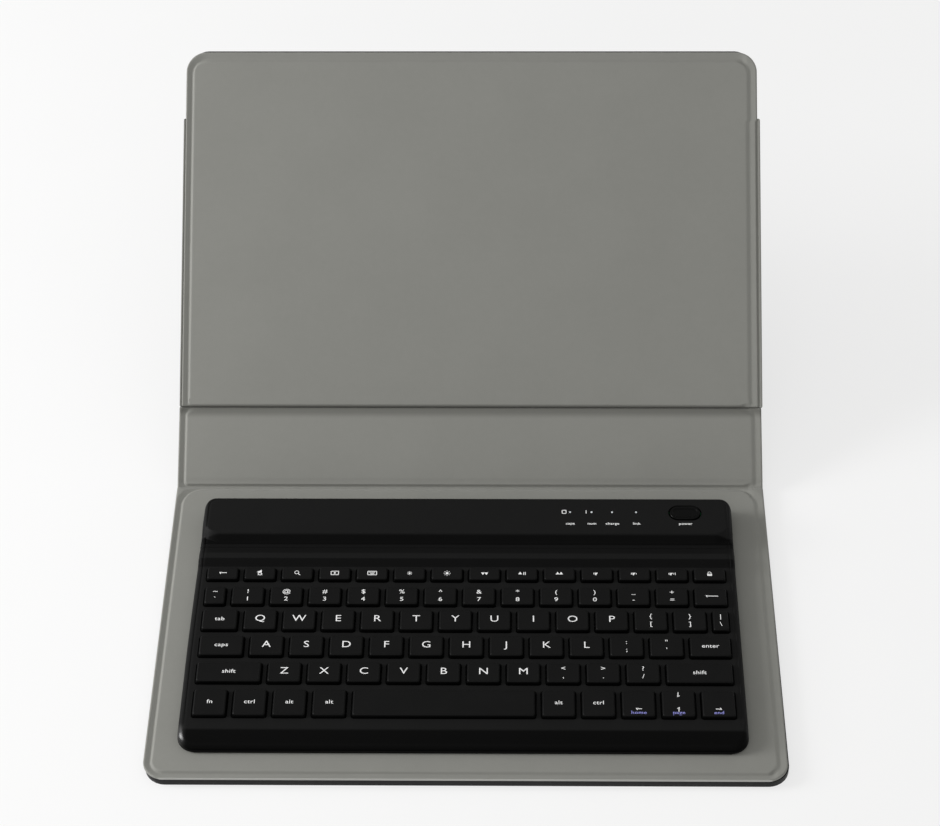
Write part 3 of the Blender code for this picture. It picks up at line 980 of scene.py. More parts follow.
@dataclass
class Linings:
    """The grey linings. Each is padded on its panel, pressed flat round the pad and turned over the edge."""

    panels: Panels
    palette: Palette
    margin: float = 2.8
    step: float = 0.9
    rear_softness: float = 2.1
    right_softness: float = 1.3
    sharp_step: float = 0.4
    sharp_from: float = 20.0
    sharp_reach: float = 3.0
    rear_zone: Span = (4.0, 3.0)
    right_zone: Span = (6.0, 4.0)
    right_lift: float = 0.5
    right_rim: float = 0.6
    lift_zone: Span = (7.0, 3.0)
    pad_top: float = 0.25
    foot: float = 0.7
    rim_rise: float = 0.8
    underside: float = -1.05
    lip: float = -0.95
    lip_width: float = 0.5
    edge_roll: float = 0.4
    front_inset: float = 0.6
    right_inset: float = 0.12
    right_taper: float = 0.42
    top_inset: float = 0.6
    plate_left: float = 131.1
    plate_right: float = 130.6
    plate_shoulder: float = 0.6
    rear_top: float = -2.66
    rear_rim: float = 2.2
    rear_tilt: float = 0.7
    rear_right: float = 0.45
    rear_thickness: float = 0.3
    rear_board_top: float = -2.93
    crease_gap: float = 0.08
    crease_drop: float = 0.45
    crease_half: float = 0.55
    fine: float = 0.4
    finest: float = 0.16
    coarse: float = 9.0
    crease_zone: Span = (-2.0, 1.0)
    edge_zone: float = 13.0
    under_dip: float = 1.4
    fold_level: float = -0.5
    fold_valley: float = -0.8
    front_pad_end: float = -1.2
    spine_pad_start: float = -0.3
    edge_corner: float = 0.3
    corner_segments: int = 10

    def pad(self, outline: RoundRect, s_low: float, s_high: float, front_radius: float,
            rear_radius: float) -> RoundRect:
        """Give the outline of one raised pad within the lining's sides."""
        return RoundRect(outline.x_low + self.margin, outline.x_high - self.margin, s_low, s_high,
                         front_radius, rear_radius)

    def rise_at(self, pad: RoundRect, x: float, s: float) -> Span:
        """Return how far a pad has risen at a point, and how far outside the pad the point lies.

        Args:
            pad: The pad's outline.
            x: Place across.
            s: Place along the pattern.

        Returns:
            The rise from 0 to 1, and the distance outside.
        """
        inside = pad.depth_at(x, s)
        sharp = pad.s_low >= self.sharp_from and s <= pad.s_low + self.sharp_reach
        step = self.sharp_step if sharp else self.step
        step += self.rear_softness * near_edge(s, pad.s_high, self.rear_zone)
        step += self.right_softness * near_edge(x, pad.x_high, self.right_zone)
        return ease(inside / step), max(-inside, 0.0)

    def height(self, outline: RoundRect, pads: Sequence[RoundRect], creases: Sequence[float],
               ) -> Callable[[float, float], float]:
        """Return the lining's height: raised pads, a rim that climbs outwards, creases and a rolled edge.

        Args:
            outline: The sheet's outline.
            pads: Outlines of the raised pads.
            creases: Places of the creases.

        Returns:
            The height over a point.
        """
        def at(x: float, s: float) -> float:
            """Give the top's height over one point.

            Args:
                x: Place across.
                s: Place along the pattern.

            Returns:
                The height.
            """
            rises = (self.rise_at(pad, x, s) for pad in pads)
            rise, outside = max(rises, key=lambda pair: (pair[0], -pair[1]))
            right = self.right_lift * near_edge(x, outline.x_high, self.lift_zone)
            climb = self.rim_rise - right * self.right_rim
            foot = right - self.foot + climb * min(outside / self.margin, 1.0)
            edge = roll(outline.depth_at(x, s), self.edge_roll)
            return foot * (1 - rise) + self.pad_top * rise - self.dip(s, creases) - edge
        return at

    def dip(self, s: float, creases: Sequence[float]) -> float:
        """Return how far the creases draw the lining down."""
        return sum(self.crease_drop * bump(s, crease, self.crease_half) for crease in creases)

    def under(self, outline: RoundRect, creases: Sequence[float]) -> Callable[[float, float], float]:
        """Return the underside's height: flat, a little higher at the edge and lower in the creases.

        Args:
            outline: The sheet's outline.
            creases: Places of the creases.

        Returns:
            The underside's height over a point.
        """
        def at(x: float, s: float) -> float:
            """Give the underside's height over one point."""
            level = self.lip if outline.depth_at(x, s) < self.lip_width else self.underside
            return level - self.under_dip * self.dip(s, creases)
        return at

    def sheet(self, outline: RoundRect, zones: Sequence[Span]) -> Shape:
        """Cut one lining flat, with lines close together near its edges and in the zones.

        Args:
            outline: The sheet's outline.
            zones: Spans along the pattern that need close lines.

        Returns:
            The flat sheet.
        """
        sides = ((outline.x_low, outline.x_low + self.edge_zone),
                 (outline.x_high - self.edge_zone, outline.x_high))
        xs = stations((outline.x_low, outline.x_high), sides, self.fine, self.coarse)
        fine = stations((outline.s_low, outline.s_high), zones, self.fine, self.coarse)
        start, end = self.crease_zone
        crease = stations(self.crease_zone, (self.crease_zone,), self.finest, self.coarse)
        away = [s for s in fine if not start - 0.05 < s < end + 0.05]
        ss = fine if outline.s_low > 0 else sorted(away + crease)
        shape = make_grid(xs, ss)
        cut_corners(shape, outline, self.corner_segments)
        return shape

    def front(self) -> Piece:
        """Build the lining that runs over the front panel and the spine.

        Returns:
            The lining.
        """
        half, spine = self.panels.half_width, self.panels.plan.spine_depth
        front, end = self.front_inset - self.panels.depth, spine - self.crease_gap / 2
        corner = self.panels.front_corner
        outline = RoundRect(-half, half - self.right_inset, front, end, corner, self.edge_corner)
        pads = (self.pad(outline, front + self.margin, self.front_pad_end, corner - 3, 11.0),
                self.pad(outline, self.spine_pad_start, spine - 0.1, 2.0, 4.0))
        zones = ((front, front + self.edge_zone), (-14, 6), (spine - 7, spine))
        shape = self.sheet(outline, zones)
        creases = (self.fold_valley, spine)
        thicken(shape, self.height(outline, pads, creases), self.under(outline, creases))
        for vert in shape.verts:
            share = ease((vert.co.x - 100) / 30) * min(max(-vert.co.y / self.panels.depth, 0.0), 1.0)
            vert.co.x -= self.right_taper * share
        self.panels.plan.fold_shape(shape)
        lining = finish_piece(shape, "front_and_spine_lining", self.palette.lining, 60.0)
        self.panels.plan.bend(lining, ("front_panel", "spine"), 0.0, self.fold_level)
        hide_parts("front_lining", "spine_lining")
        return lining

    def plate(self) -> Piece:
        """Build the lining of the tablet plate, a little wider above the hinge.

        Returns:
            The lining.
        """
        low, high = self.panels.plan.spine_depth + self.crease_gap / 2, self.panels.top - self.top_inset
        corner = self.panels.top_corner
        outline = RoundRect(-self.plate_left, self.plate_right, low, high, self.edge_corner, corner)
        pads = (self.pad(outline, low + 0.5, high - self.margin, 1.6, corner - 2),)
        hinge = self.panels.plan.hinge_place
        zones = ((low, low + 7), (hinge - 3, hinge + 1), (high - self.edge_zone, high))
        shape = self.sheet(outline, zones)
        creases = (low,)
        thicken(shape, self.height(outline, pads, creases), self.under(outline, creases))
        for vert in shape.verts:
            share = ease((vert.co.x - 30) / 90) * ease((vert.co.y - hinge + 2.4) / 1.2)
            vert.co.x += self.plate_shoulder * share
        self.panels.plan.fold_shape(shape)
        lining = finish_piece(shape, "plate_lining_pad", self.palette.lining, 60.0)
        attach(lining, "tablet_plate")
        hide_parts("plate_lining")
        return lining

    def rear(self) -> Piece:
        """Build the thin lining of the rear panel, whose sides show past the plate.

        Returns:
            The lining.
        """
        half, low = self.panels.half_width, self.panels.plan.spine_depth + 0.3
        high = self.panels.plan.hinge_place - 0.7
        outline = RoundRect(-half, half + self.rear_right, low, high, self.edge_corner, 1.0)
        shape = self.sheet(outline, ((low, low + 3), (high - 4, high)))

        def top(x: float, s: float) -> float:
            """Give the height over one point: low under the plate, raised beside it.

            Args:
                x: Place across.
                s: Place along the pattern.

            Returns:
                The height.
            """
            side, band = min((x - outline.x_low, half - self.plate_left),
                             (outline.x_high - x, outline.x_high - self.plate_right))
            climb = ease((band + 0.5 - side) / 0.4)
            tilt = self.rear_tilt * (1 - min(side / band, 1.0))
            return self.rear_top + self.rear_rim * climb + tilt - roll(side, self.edge_roll)

        thicken(shape, top, lambda x, s: min(top(x, s) - self.rear_thickness, self.rear_board_top))
        self.panels.plan.fold_shape(shape)
        lining = finish_piece(shape, "rear_lining", self.palette.lining, 60.0)
        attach(lining, "rear_panel")
        return lining


# ------------------------------------------------------------------- the skins


@dataclass
class Skins:
    """The black outer skins: pocketed trays that run on through the creases and the plate's hinge."""

    panels: Panels
    palette: Palette
    wall: float = 1.4
    floor: float = 0.9
    wall_top: float = -1.1
    rear_low: float = -4.6
    rear_high: float = -2.9
    plate_low: float = -2.6
    plate_high: float = -0.95
    tuck: float = 0.6
    channel_depth: float = 1.0
    valley: float = 0.6
    channel_width: float = 4.2
    edge_round: float = 0.9
    fine: float = 0.8
    coarse: float = 22.0
    front_inset: float = 0.6
    butt: float = 60.0
    square: float = 0.01
    hinge_step: float = 1.2
    plate_half: float = 130.6
    plate_gap: float = 0.7
    plate_corner: float = 2.5
    plate_wall: float = 0.9
    plate_floor: float = -2.0
    bend_reach: float = 5.0

    def channel(self, s: float, creases: Sequence[float]) -> float:
        """Return how deep the outside is pressed in near the creases."""
        near = min(abs(s - crease) for crease in creases)
        return self.channel_depth * (1 - ease(near / self.channel_width))

    def tray(self, outline: RoundRect, levels: Span, pockets: Sequence[tuple[RoundRect, float]],
             creases: Sequence[float], open_ends: Sequence[float]) -> Shape:
        """Build one tray of skin on the flat pattern.

        Args:
            outline: The skin's outline.
            levels: Heights of its outside and of its walls' top.
            pockets: Outline and floor height of each pocket for a board.
            creases: Places where it folds and is pressed thin.
            open_ends: Ends that butt against the next skin and stay square.

        Returns:
            The closed shape, still flat.
        """
        low, high = levels
        zones = [(crease - 6, crease + 6) for crease in creases]
        hair = self.square
        marks = [(edge - hair, edge + hair) for pocket, _ in pockets for edge in (pocket.s_low, pocket.s_high)]
        sides = [(edge - hair, edge + hair) for pocket, _ in pockets for edge in (pocket.x_low, pocket.x_high)]
        xs = stations((outline.x_low, outline.x_high), sides, 1.0, self.coarse)
        ss = stations((outline.s_low, outline.s_high), [*zones, *marks], self.fine, self.coarse)
        shape = make_grid(xs, ss)
        cut_corners(shape, outline, 7)
        for pocket, _ in pockets:
            cut_corners(shape, pocket, 4, clear=False)
        thicken(shape, lambda x, s: high, lambda x, s: low)
        for pocket, floor in pockets:
            sink(shape, pocket, high, floor)
        shape.normal_update()
        rims = [e for e in shape.edges if self.is_rim(e, outline, levels, open_ends)]
        bevel(shape, rims, self.edge_round if high - low > 2 else (high - low) * 0.4, 4)
        for vert in shape.verts:
            if vert.co.z < (low + high) / 2:
                vert.co.z += min(self.channel(vert.co.y, creases), high - low - 0.5) if creases else 0.0
            elif creases:
                away = min(abs(vert.co.y - crease) for crease in creases)
                vert.co.z -= self.valley * (1 - ease(away / 2.4))
        return shape

    @staticmethod
    def is_rim(edge: bmesh.types.BMEdge, outline: RoundRect, levels: Span,
               open_ends: Sequence[float]) -> bool:
        """Tell whether an edge runs round the outline on the outside or on the walls' top.

        Args:
            edge: The edge.
            outline: The skin's outline.
            levels: Heights of the outside and of the walls' top.
            open_ends: Ends that stay square.

        Returns:
            Whether it is to be rounded.
        """
        for vert in edge.verts:
            if min(abs(vert.co.z - level) for level in levels) > 1e-3:
                return False
            if outline.depth_at(vert.co.x, vert.co.y) > 0.08:
                return False
        first, second = edge.verts
        if abs(first.co.z - second.co.z) > 1e-3:
            return False
        return not any(abs(first.co.y - end) < 1e-3 and abs(second.co.y - end) < 1e-3 for end in open_ends)

    def front(self) -> Piece:
        """Build the skin of the front panel, through the lower crease to the middle of the spine.

        Returns:
            The skin.
        """
        half, spine = self.panels.half_width, self.panels.plan.spine_depth
        front, end = self.front_inset - self.panels.depth, spine / 2
        outline = RoundRect(self.tuck - half, half, front, end, self.panels.front_corner, self.square)
        low = -self.panels.thickness
        pockets = ((RoundRect(-half + self.wall, half - self.wall, front + self.wall, -0.7 - self.wall,
                              self.panels.front_corner - self.wall, 1.1), low + self.floor),)
        shape = self.tray(outline, (low, self.wall_top), pockets, (0.0,), (end,))
        return self.dress(shape, "front_skin", ("front_panel", "spine"), 0.0, -2.8, ("front_cover",))

    def spine(self) -> Piece:
        """Build the skin from the middle of the spine, through the upper crease, up the rear panel.

        Returns:
            The skin.
        """
        half, crease = self.panels.half_width, self.panels.plan.spine_depth
        ends = (crease / 2, crease + self.butt)
        outline = RoundRect(self.tuck - half, half, *ends, self.square, self.square)
        shape = self.tray(outline, (self.rear_low + 0.3, self.rear_high), (), (crease,), ends)
        for vert in shape.verts:
            share = ease((crease - vert.co.y) / 8)
            if vert.co.z > (self.rear_low + self.rear_high) / 2:
                vert.co.z += share * (self.wall_top - self.rear_high)
            else:
                vert.co.z -= (1 - share) * 0.3
            vert.co.x -= self.tuck * (1 - share) * ease((vert.co.x - 100) / 20)
        return self.dress(shape, "spine_skin", ("spine", "rear_panel"), crease, -3.4, ("spine_cover",))

    def rear(self) -> Piece:
        """Build the skin up the rest of the rear panel and over the hinge onto the plate's top band.

        Returns:
            The skin.
        """
        half, crease = self.panels.half_width, self.panels.plan.hinge_place
        start = self.panels.plan.spine_depth + self.butt
        edge = half - self.tuck
        outline = RoundRect(-edge, edge, start, self.panels.top, self.square, self.panels.top_corner)
        shape = self.tray(outline, (self.rear_low, self.rear_high), (), (), (start,))
        for vert in shape.verts:
            vert.co.x *= 1 - self.hinge_step / half * ease((vert.co.y - crease + 0.8) / 1.6)
        return self.dress(shape, "rear_skin", ("rear_panel", "tablet_plate"), crease, -4.0, ("rear_cover",))

    def plate(self) -> Piece:
        """Build the black tray of the tablet plate.

        Returns:
            The skin.
        """
        half = self.plate_half - self.tuck
        low, high = self.panels.plan.spine_depth + self.plate_gap, self.panels.top
        outline = RoundRect(-half, half, low, high, self.plate_corner, self.panels.top_corner)
        pockets = ((outline.inset(self.plate_wall), self.plate_floor),)
        shape = self.tray(outline, (self.plate_low, self.plate_high), pockets, (), ())
        self.panels.plan.fold_shape(shape)
        skin = finish_piece(shape, "plate_skin", self.palette.skin)
        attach(skin, "tablet_plate")
        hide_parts("plate_cover")
        return skin

    def dress(self, shape: Shape, name: str, bodies: tuple[str, str], crease: float, level: float,
              nodes: tuple[str, ...]) -> Piece:
        """Fold a skin, bake its placement and let it stand for its CAD nodes.

        Args:
            shape: The shape in hand.
            name: Its name.
            bodies: The two bodies that the joint links.
            crease: Place of the fold.
            level: Height of its middle on the pattern.
            nodes: CAD nodes that it stands for.

        Returns:
            The skin.
        """
        self.panels.plan.fold_shape(shape)
        skin = finish_piece(shape, name, self.palette.skin)
        self.panels.plan.bend(skin, bodies, crease, level, self.bend_reach)
        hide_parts(*nodes)
        return skin


# ---------------------------------------------------------------- the keyboard


@dataclass
class Housing:
    """The keyboard's moulded housing: key bed, ribbed rise, raised platform and base plate."""

    palette: Palette
    front_corner: float = 7.5
    rear_corner: float = 5.0
    deck: float = 10.0
    platform: float = 14.0
    platform_front: float = 44.4
    platform_run: float = 3.4
    bed_front: float = -60.4
    rim: float = 2.1
    well_clearance: float = 0.4
    front_growth: float = 0.8
    rear_growth: float = 0.9
    left_taper: float = 1.6
    seam_depth: float = 2.5
    seam_side: float = 112.0
    corner_spread: float = 5.5
    corner_side: float = 113.0
    ridge_foot: float = 28.6
    ridge_back: float = 34.9
    wide_groove: float = 39.4
    narrow_groove: float = 41.3
    lip_place: float = 40.5
    front_drop: float = 0.5
    platform_side: float = 0.9
    platform_corner: float = 8.0
    wall: float = 1.9
    deck_wall: float = 1.5
    bay_wall: float = 3.0
    bay_side: float = 7.0
    bay_front: float = 1.6
    bay_roof: float = 1.3
    well_corner: float = 1.2
    button_gap: float = 1.3
    light_hole: float = 0.75
    port_gap: float = 0.3
    screw_inset: float = 8.0
    low: Vector = field(init=False)
    high: Vector = field(init=False)

    def __post_init__(self) -> None:
        """Read the housing's box from the frame."""
        self.low, self.high = node_box("keyboard_top_case")

    @property
    def outline(self) -> RoundRect:
        """The housing's plan."""
        front, rear = self.low.y - self.front_growth, self.high.y + self.rear_growth
        return RoundRect(self.low.x, self.high.x, front, rear, self.front_corner, self.rear_corner)

    def narrow(self, shape: Shape) -> None:
        """Draw the left side in a little towards the rear.

        Args:
            shape: The shape in hand.
        """
        for vert in shape.verts:
            share = ease((vert.co.y + 30) / 130) * ease((-60 - vert.co.x) / 50)
            vert.co.x += self.left_taper * share

    def section(self, y: float) -> float:
        """Return the height of the deck along the middle: bed, front slope, ridge and groove.

        Args:
            y: Place from front to rear.

        Returns:
            The height.
        """
        if y < self.bed_front:
            run = (self.bed_front - y) / (self.bed_front - self.low.y + self.front_growth)
            foot = self.low.z + self.front_drop
            return foot + (self.deck - foot) * math.sqrt(max(1 - run * run, 0.0))
        ridge = 1.15 * ease((y - self.ridge_foot) / 4.0) - 0.45 * ease((y - self.ridge_back) / 3.6)
        grooves = 0.5 * bump(y, self.wide_groove, 0.45) + 0.45 * bump(y, self.narrow_groove, 0.3)
        return self.deck + ridge - grooves + 0.3 * bump(y, self.lip_place, 0.35)

    def height(self, x: float, y: float) -> float:
        """Return the height of the housing's top over a point of its plan.

        Args:
            x: Place across.
            y: Place from front to rear.

        Returns:
            The height.
        """
        plate = RoundRect(self.low.x + self.platform_side, self.high.x - self.platform_side,
                          self.platform_front, self.high.y + self.rear_growth - 0.3,
                          self.platform_corner, self.rear_corner)
        outside = max(-plate.depth_at(x, y), 0.0)
        raised = self.platform - (self.platform - self.deck) * outside / self.platform_run
        raised -= 0.5 * roll(plate.depth_at(x, y), 0.8)
        depth = self.outline.depth_at(x, y)
        aside = abs(x - (self.low.x + self.high.x) / 2)
        seam = 0.3 * bump(depth, self.seam_depth, 0.25) * ease((y - self.bed_front) / 4)
        seam *= ease((aside - self.seam_side) / 1.5)
        corner = ease((aside - self.corner_side) / 7)
        width = self.rim + self.corner_spread * ease((self.bed_front + 3 - y) / 7) * corner
        return max(self.section(y), raised) - seam - roll(depth * self.rim / width, self.rim)

    def top(self) -> Piece:
        """Build the upper case and cut its wells, holes and hollow.

        Returns:
            The upper case.
        """
        outline = self.outline
        sides = ((outline.x_low, outline.x_low + 9), (outline.x_high - 9, outline.x_high))
        xs = stations((outline.x_low, outline.x_high), sides, 0.4, 7.0)
        steps = ((outline.s_low, self.bed_front + 1.5), (27.5, 48.5), (outline.s_high - 6, outline.s_high))
        ys = stations((outline.s_low, outline.s_high), steps, 0.35, 5.0)
        shape = make_grid(xs, ys)
        cut_corners(shape, outline, 9)
        thicken(shape, self.height, lambda x, y: self.low.z)
        self.narrow(shape)
        case = finish_piece(shape, "keyboard_upper_case", self.palette.housing)
        carve(case, [self.hollow(), self.bay(), self.openings()])
        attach(case, "keyboard")
        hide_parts("keyboard_top_case")
        return case

    def hollow(self) -> Shape:
        """Make the cutter for the space under the deck.

        Returns:
            The cutter.
        """
        inner = self.outline.inset(self.wall)
        shape = bmesh.new()
        add_box(shape, (inner.x_low, inner.x_high), (inner.s_low, inner.s_high),
                (self.low.z - 1, self.deck - self.deck_wall))
        bevel(shape, [e for e in shape.edges if is_upright(e)], inner.front_radius, 4)
        return shape

    def bay(self) -> Shape:
        """Make the cutter for the space under the platform.

        Returns:
            The cutter.
        """
        inner = self.outline.inset(self.bay_wall)
        shape = bmesh.new()
        add_box(shape, (inner.x_low + self.bay_side, inner.x_high - self.bay_side),
                (self.platform_front + self.bay_front, inner.s_high),
                (self.deck - 2, self.platform - self.bay_roof))
        return shape

    def openings(self) -> Shape:
        """Make the cutter for the key wells, the button's hole, the light holes and the socket.

        Returns:
            The cutter.
        """
        shape = bmesh.new()
        grow = self.well_clearance
        for bank in KEY_BANKS:
            for x_span, y_span in bank.cells():
                spans = [(low - grow, high + grow) for low, high in (x_span, y_span)]
                verts = add_box(shape, *spans, (self.deck - 3, self.deck + 3))
                corners = [e for e in {e for v in verts for e in v.link_edges} if is_upright(e)]
                bevel(shape, corners, self.well_corner, 2)
        low, high = node_box("power_button")
        middle = (low + high) / 2
        size = high - low
        add_stadium(shape, middle.x, middle.y, size.x + self.button_gap, size.y + self.button_gap,
                    (self.platform - 2, self.platform + 1))
        guide_low, guide_high = node_box("indicator_light_guide")
        for x in Controls.light_places(guide_low.x, guide_high.x):
            matrix = Matrix.Translation((x, (guide_low.y + guide_high.y) / 2, self.platform - 0.5))
            bmesh.ops.create_cone(shape, cap_ends=True, segments=20, radius1=self.light_hole,
                                  radius2=self.light_hole, depth=3, matrix=matrix)
        low, high = node_box("charging_socket")
        gap = self.port_gap
        add_box(shape, (low.x - gap, high.x + gap), (high.y - 3, high.y + 2), (low.z - gap, high.z + gap))
        return shape

    def base(self) -> Piece:
        """Build the base plate with a rounded lower edge.

        Returns:
            The base plate.
        """
        low, high = node_box("keyboard_bottom_case")
        outline = self.outline.inset(-0.2)
        shape = bmesh.new()
        add_box(shape, (outline.x_low, outline.x_high), (outline.s_low, outline.s_high), (low.z, high.z))
        for at_y, radius in ((outline.s_low, outline.front_radius), (outline.s_high, outline.rear_radius)):
            edges = [e for e in shape.edges if is_upright(e) and abs(e.verts[0].co.y - at_y) < 1e-3]
            bevel(shape, edges, radius, 8)
        for level in (low.z, high.z):
            bevel(shape, [e for e in shape.edges if all(abs(v.co.z - level) < 1e-4 for v in e.verts)], 0.3, 3)
        self.narrow(shape)
        plate = finish_piece(shape, "keyboard_base_plate", self.palette.base)
        pockets = bmesh.new()
        gap = self.port_gap
        for strip in ("magnet_strip_front", "magnet_strip_rear"):
            strip_low, strip_high = node_box(strip)
            add_box(pockets, (strip_low.x - gap, strip_high.x + gap), (strip_low.y - gap, strip_high.y + gap),
                    (low.z - 1, strip_high.z + gap))
        for x in (outline.x_low + self.screw_inset, outline.x_high - self.screw_inset):
            for y in (outline.s_low + self.screw_inset, outline.s_high - self.screw_inset):
                matrix = Matrix.Translation((x, y, low.z))
                bmesh.ops.create_cone(pockets, cap_ends=True, segments=20, radius1=2.2, radius2=1.6,
                                      depth=1.0, matrix=matrix)
        carve(plate, [pockets])
        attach(plate, "keyboard")
        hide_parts("keyboard_bottom_case")
        return plate


def add_stadium(shape: Shape, x: float, y: float, width: float, depth: float,
                z_span: Span) -> bmesh.types.BMFace:
    """Add an upright prism with round ends and return its top face.

    Args:
        shape: The shape in hand.
        x: Place across.
        y: Place from front to rear.
        width: Size across.
        depth: Size from front to rear.
        z_span: From bottom to top.

    Returns:
        The top face.
    """
    matrix = Matrix.Translation((x, y, z_span[0]))
    ring = bmesh.ops.create_circle(shape, cap_ends=True, segments=48, radius=depth / 2,
                                   matrix=matrix)["verts"]
    for vert in ring:
        vert.co.x += math.copysign((width - depth) / 2, vert.co.x - x)
    bottom = ring[0].link_faces[0]
    raised = bmesh.ops.extrude_face_region(shape, geom=[bottom], use_keep_orig=True)["geom"]
    top = next(item for item in raised if isinstance(item, bmesh.types.BMFace))
    for vert in top.verts:
        vert.co.z = z_span[1]
    bmesh.ops.recalc_face_normals(shape, faces=[*{f for v in (*ring, *top.verts) for f in v.link_faces}])
    return top


class Mark(Enum):
    """Pictures printed on keys."""

    BACK = "back"
    HOME = "home"
    SEARCH = "search"
    DIM = "dim"
    BRIGHT = "bright"
    FRAME = "frame"
    KEYS = "keys"
    PREVIOUS = "previous"
    PLAY = "play"
    NEXT = "next"
    QUIET = "quiet"
    SOFTER = "softer"
    LOUDER = "louder"
    LOCK = "lock"
    ERASE = "erase"
    LEFT = "left"
    UP_DOWN = "up_down"
    RIGHT = "right"
    BLANK = "blank"


@dataclass(frozen=True)
class KeyBank:
    """One CAD key node: a single key, or keys in a row that are joined under the deck."""

    node: str
    legends: tuple[object, ...]
    first: float | None = None
    last: float | None = None
    gap: float = 2.3

    def cells(self) -> list[tuple[Span, Span]]:
        """Share the node's box among its keys and return each key's x and y span.

        Returns:
            Each key's x and y span.
        """
        low, high = node_box(self.node)
        count = len(self.legends)
        room = high.x - low.x - self.gap * (count - 1) - (self.first or 0) - (self.last or 0)
        equal = room / (count - (self.first is not None) - (self.last is not None) or 1)
        widths = [equal] * count
        if self.first is not None:
            widths[0] = self.first
        if self.last is not None:
            widths[-1] = self.last
        spans, left = [], low.x
        for width in widths:
            spans.append(((left, left + width), (low.y, high.y)))
            left += width + self.gap
        return spans


FUNCTION_MARKS = (Mark.BACK, Mark.HOME, Mark.SEARCH, Mark.FRAME, Mark.KEYS, Mark.DIM, Mark.BRIGHT,
                  Mark.PREVIOUS, Mark.PLAY, Mark.NEXT, Mark.QUIET, Mark.SOFTER, Mark.LOUDER, Mark.LOCK)
NUMBER_MARKS = ("~\n`", "!\n1", "@\n2", "#\n3", "$\n4", "%\n5", "^\n6", "&\n7", "*\n8", "(\n9", ")\n0",
                "_\n-", "+\n=", Mark.ERASE)
KEY_BANKS = (
    KeyBank("keys_function_row", FUNCTION_MARKS),
    KeyBank("keys_number_row", NUMBER_MARKS, first=9.3),
    KeyBank("key_tab", ("tab",)),
    *(KeyBank(f"key_{letter}", (letter.upper(),)) for letter in "qwertyuiop"),
    KeyBank("keys_brackets", ("{\n[", "}\n]", "|\n\\"), last=7.2),
    KeyBank("key_caps_lock", ("caps",)),
    *(KeyBank(f"key_{letter}", (letter.upper(),)) for letter in "asdfghjkl"),
    KeyBank("keys_quotes", (":\n;", "\"\n'")),
    KeyBank("key_enter", ("enter",)),
    KeyBank("key_shift_left", ("shift",)),
    *(KeyBank(f"key_{letter}", (letter.upper(),)) for letter in "zxcvbnm"),
    KeyBank("keys_punctuation", ("<\n,", ">\n.", "?\n/")),
    KeyBank("key_shift_right", ("shift",)),
    KeyBank("keys_modifiers_left", ("fn", "ctrl", "alt", "alt")),
    KeyBank("key_space", (Mark.BLANK,)),
    KeyBank("keys_modifiers_right", ("alt", "ctrl", Mark.LEFT, Mark.UP_DOWN, Mark.RIGHT)),
)
SECOND_WORDS = {Mark.LEFT: "home", Mark.UP_DOWN: "page", Mark.RIGHT: "end"}


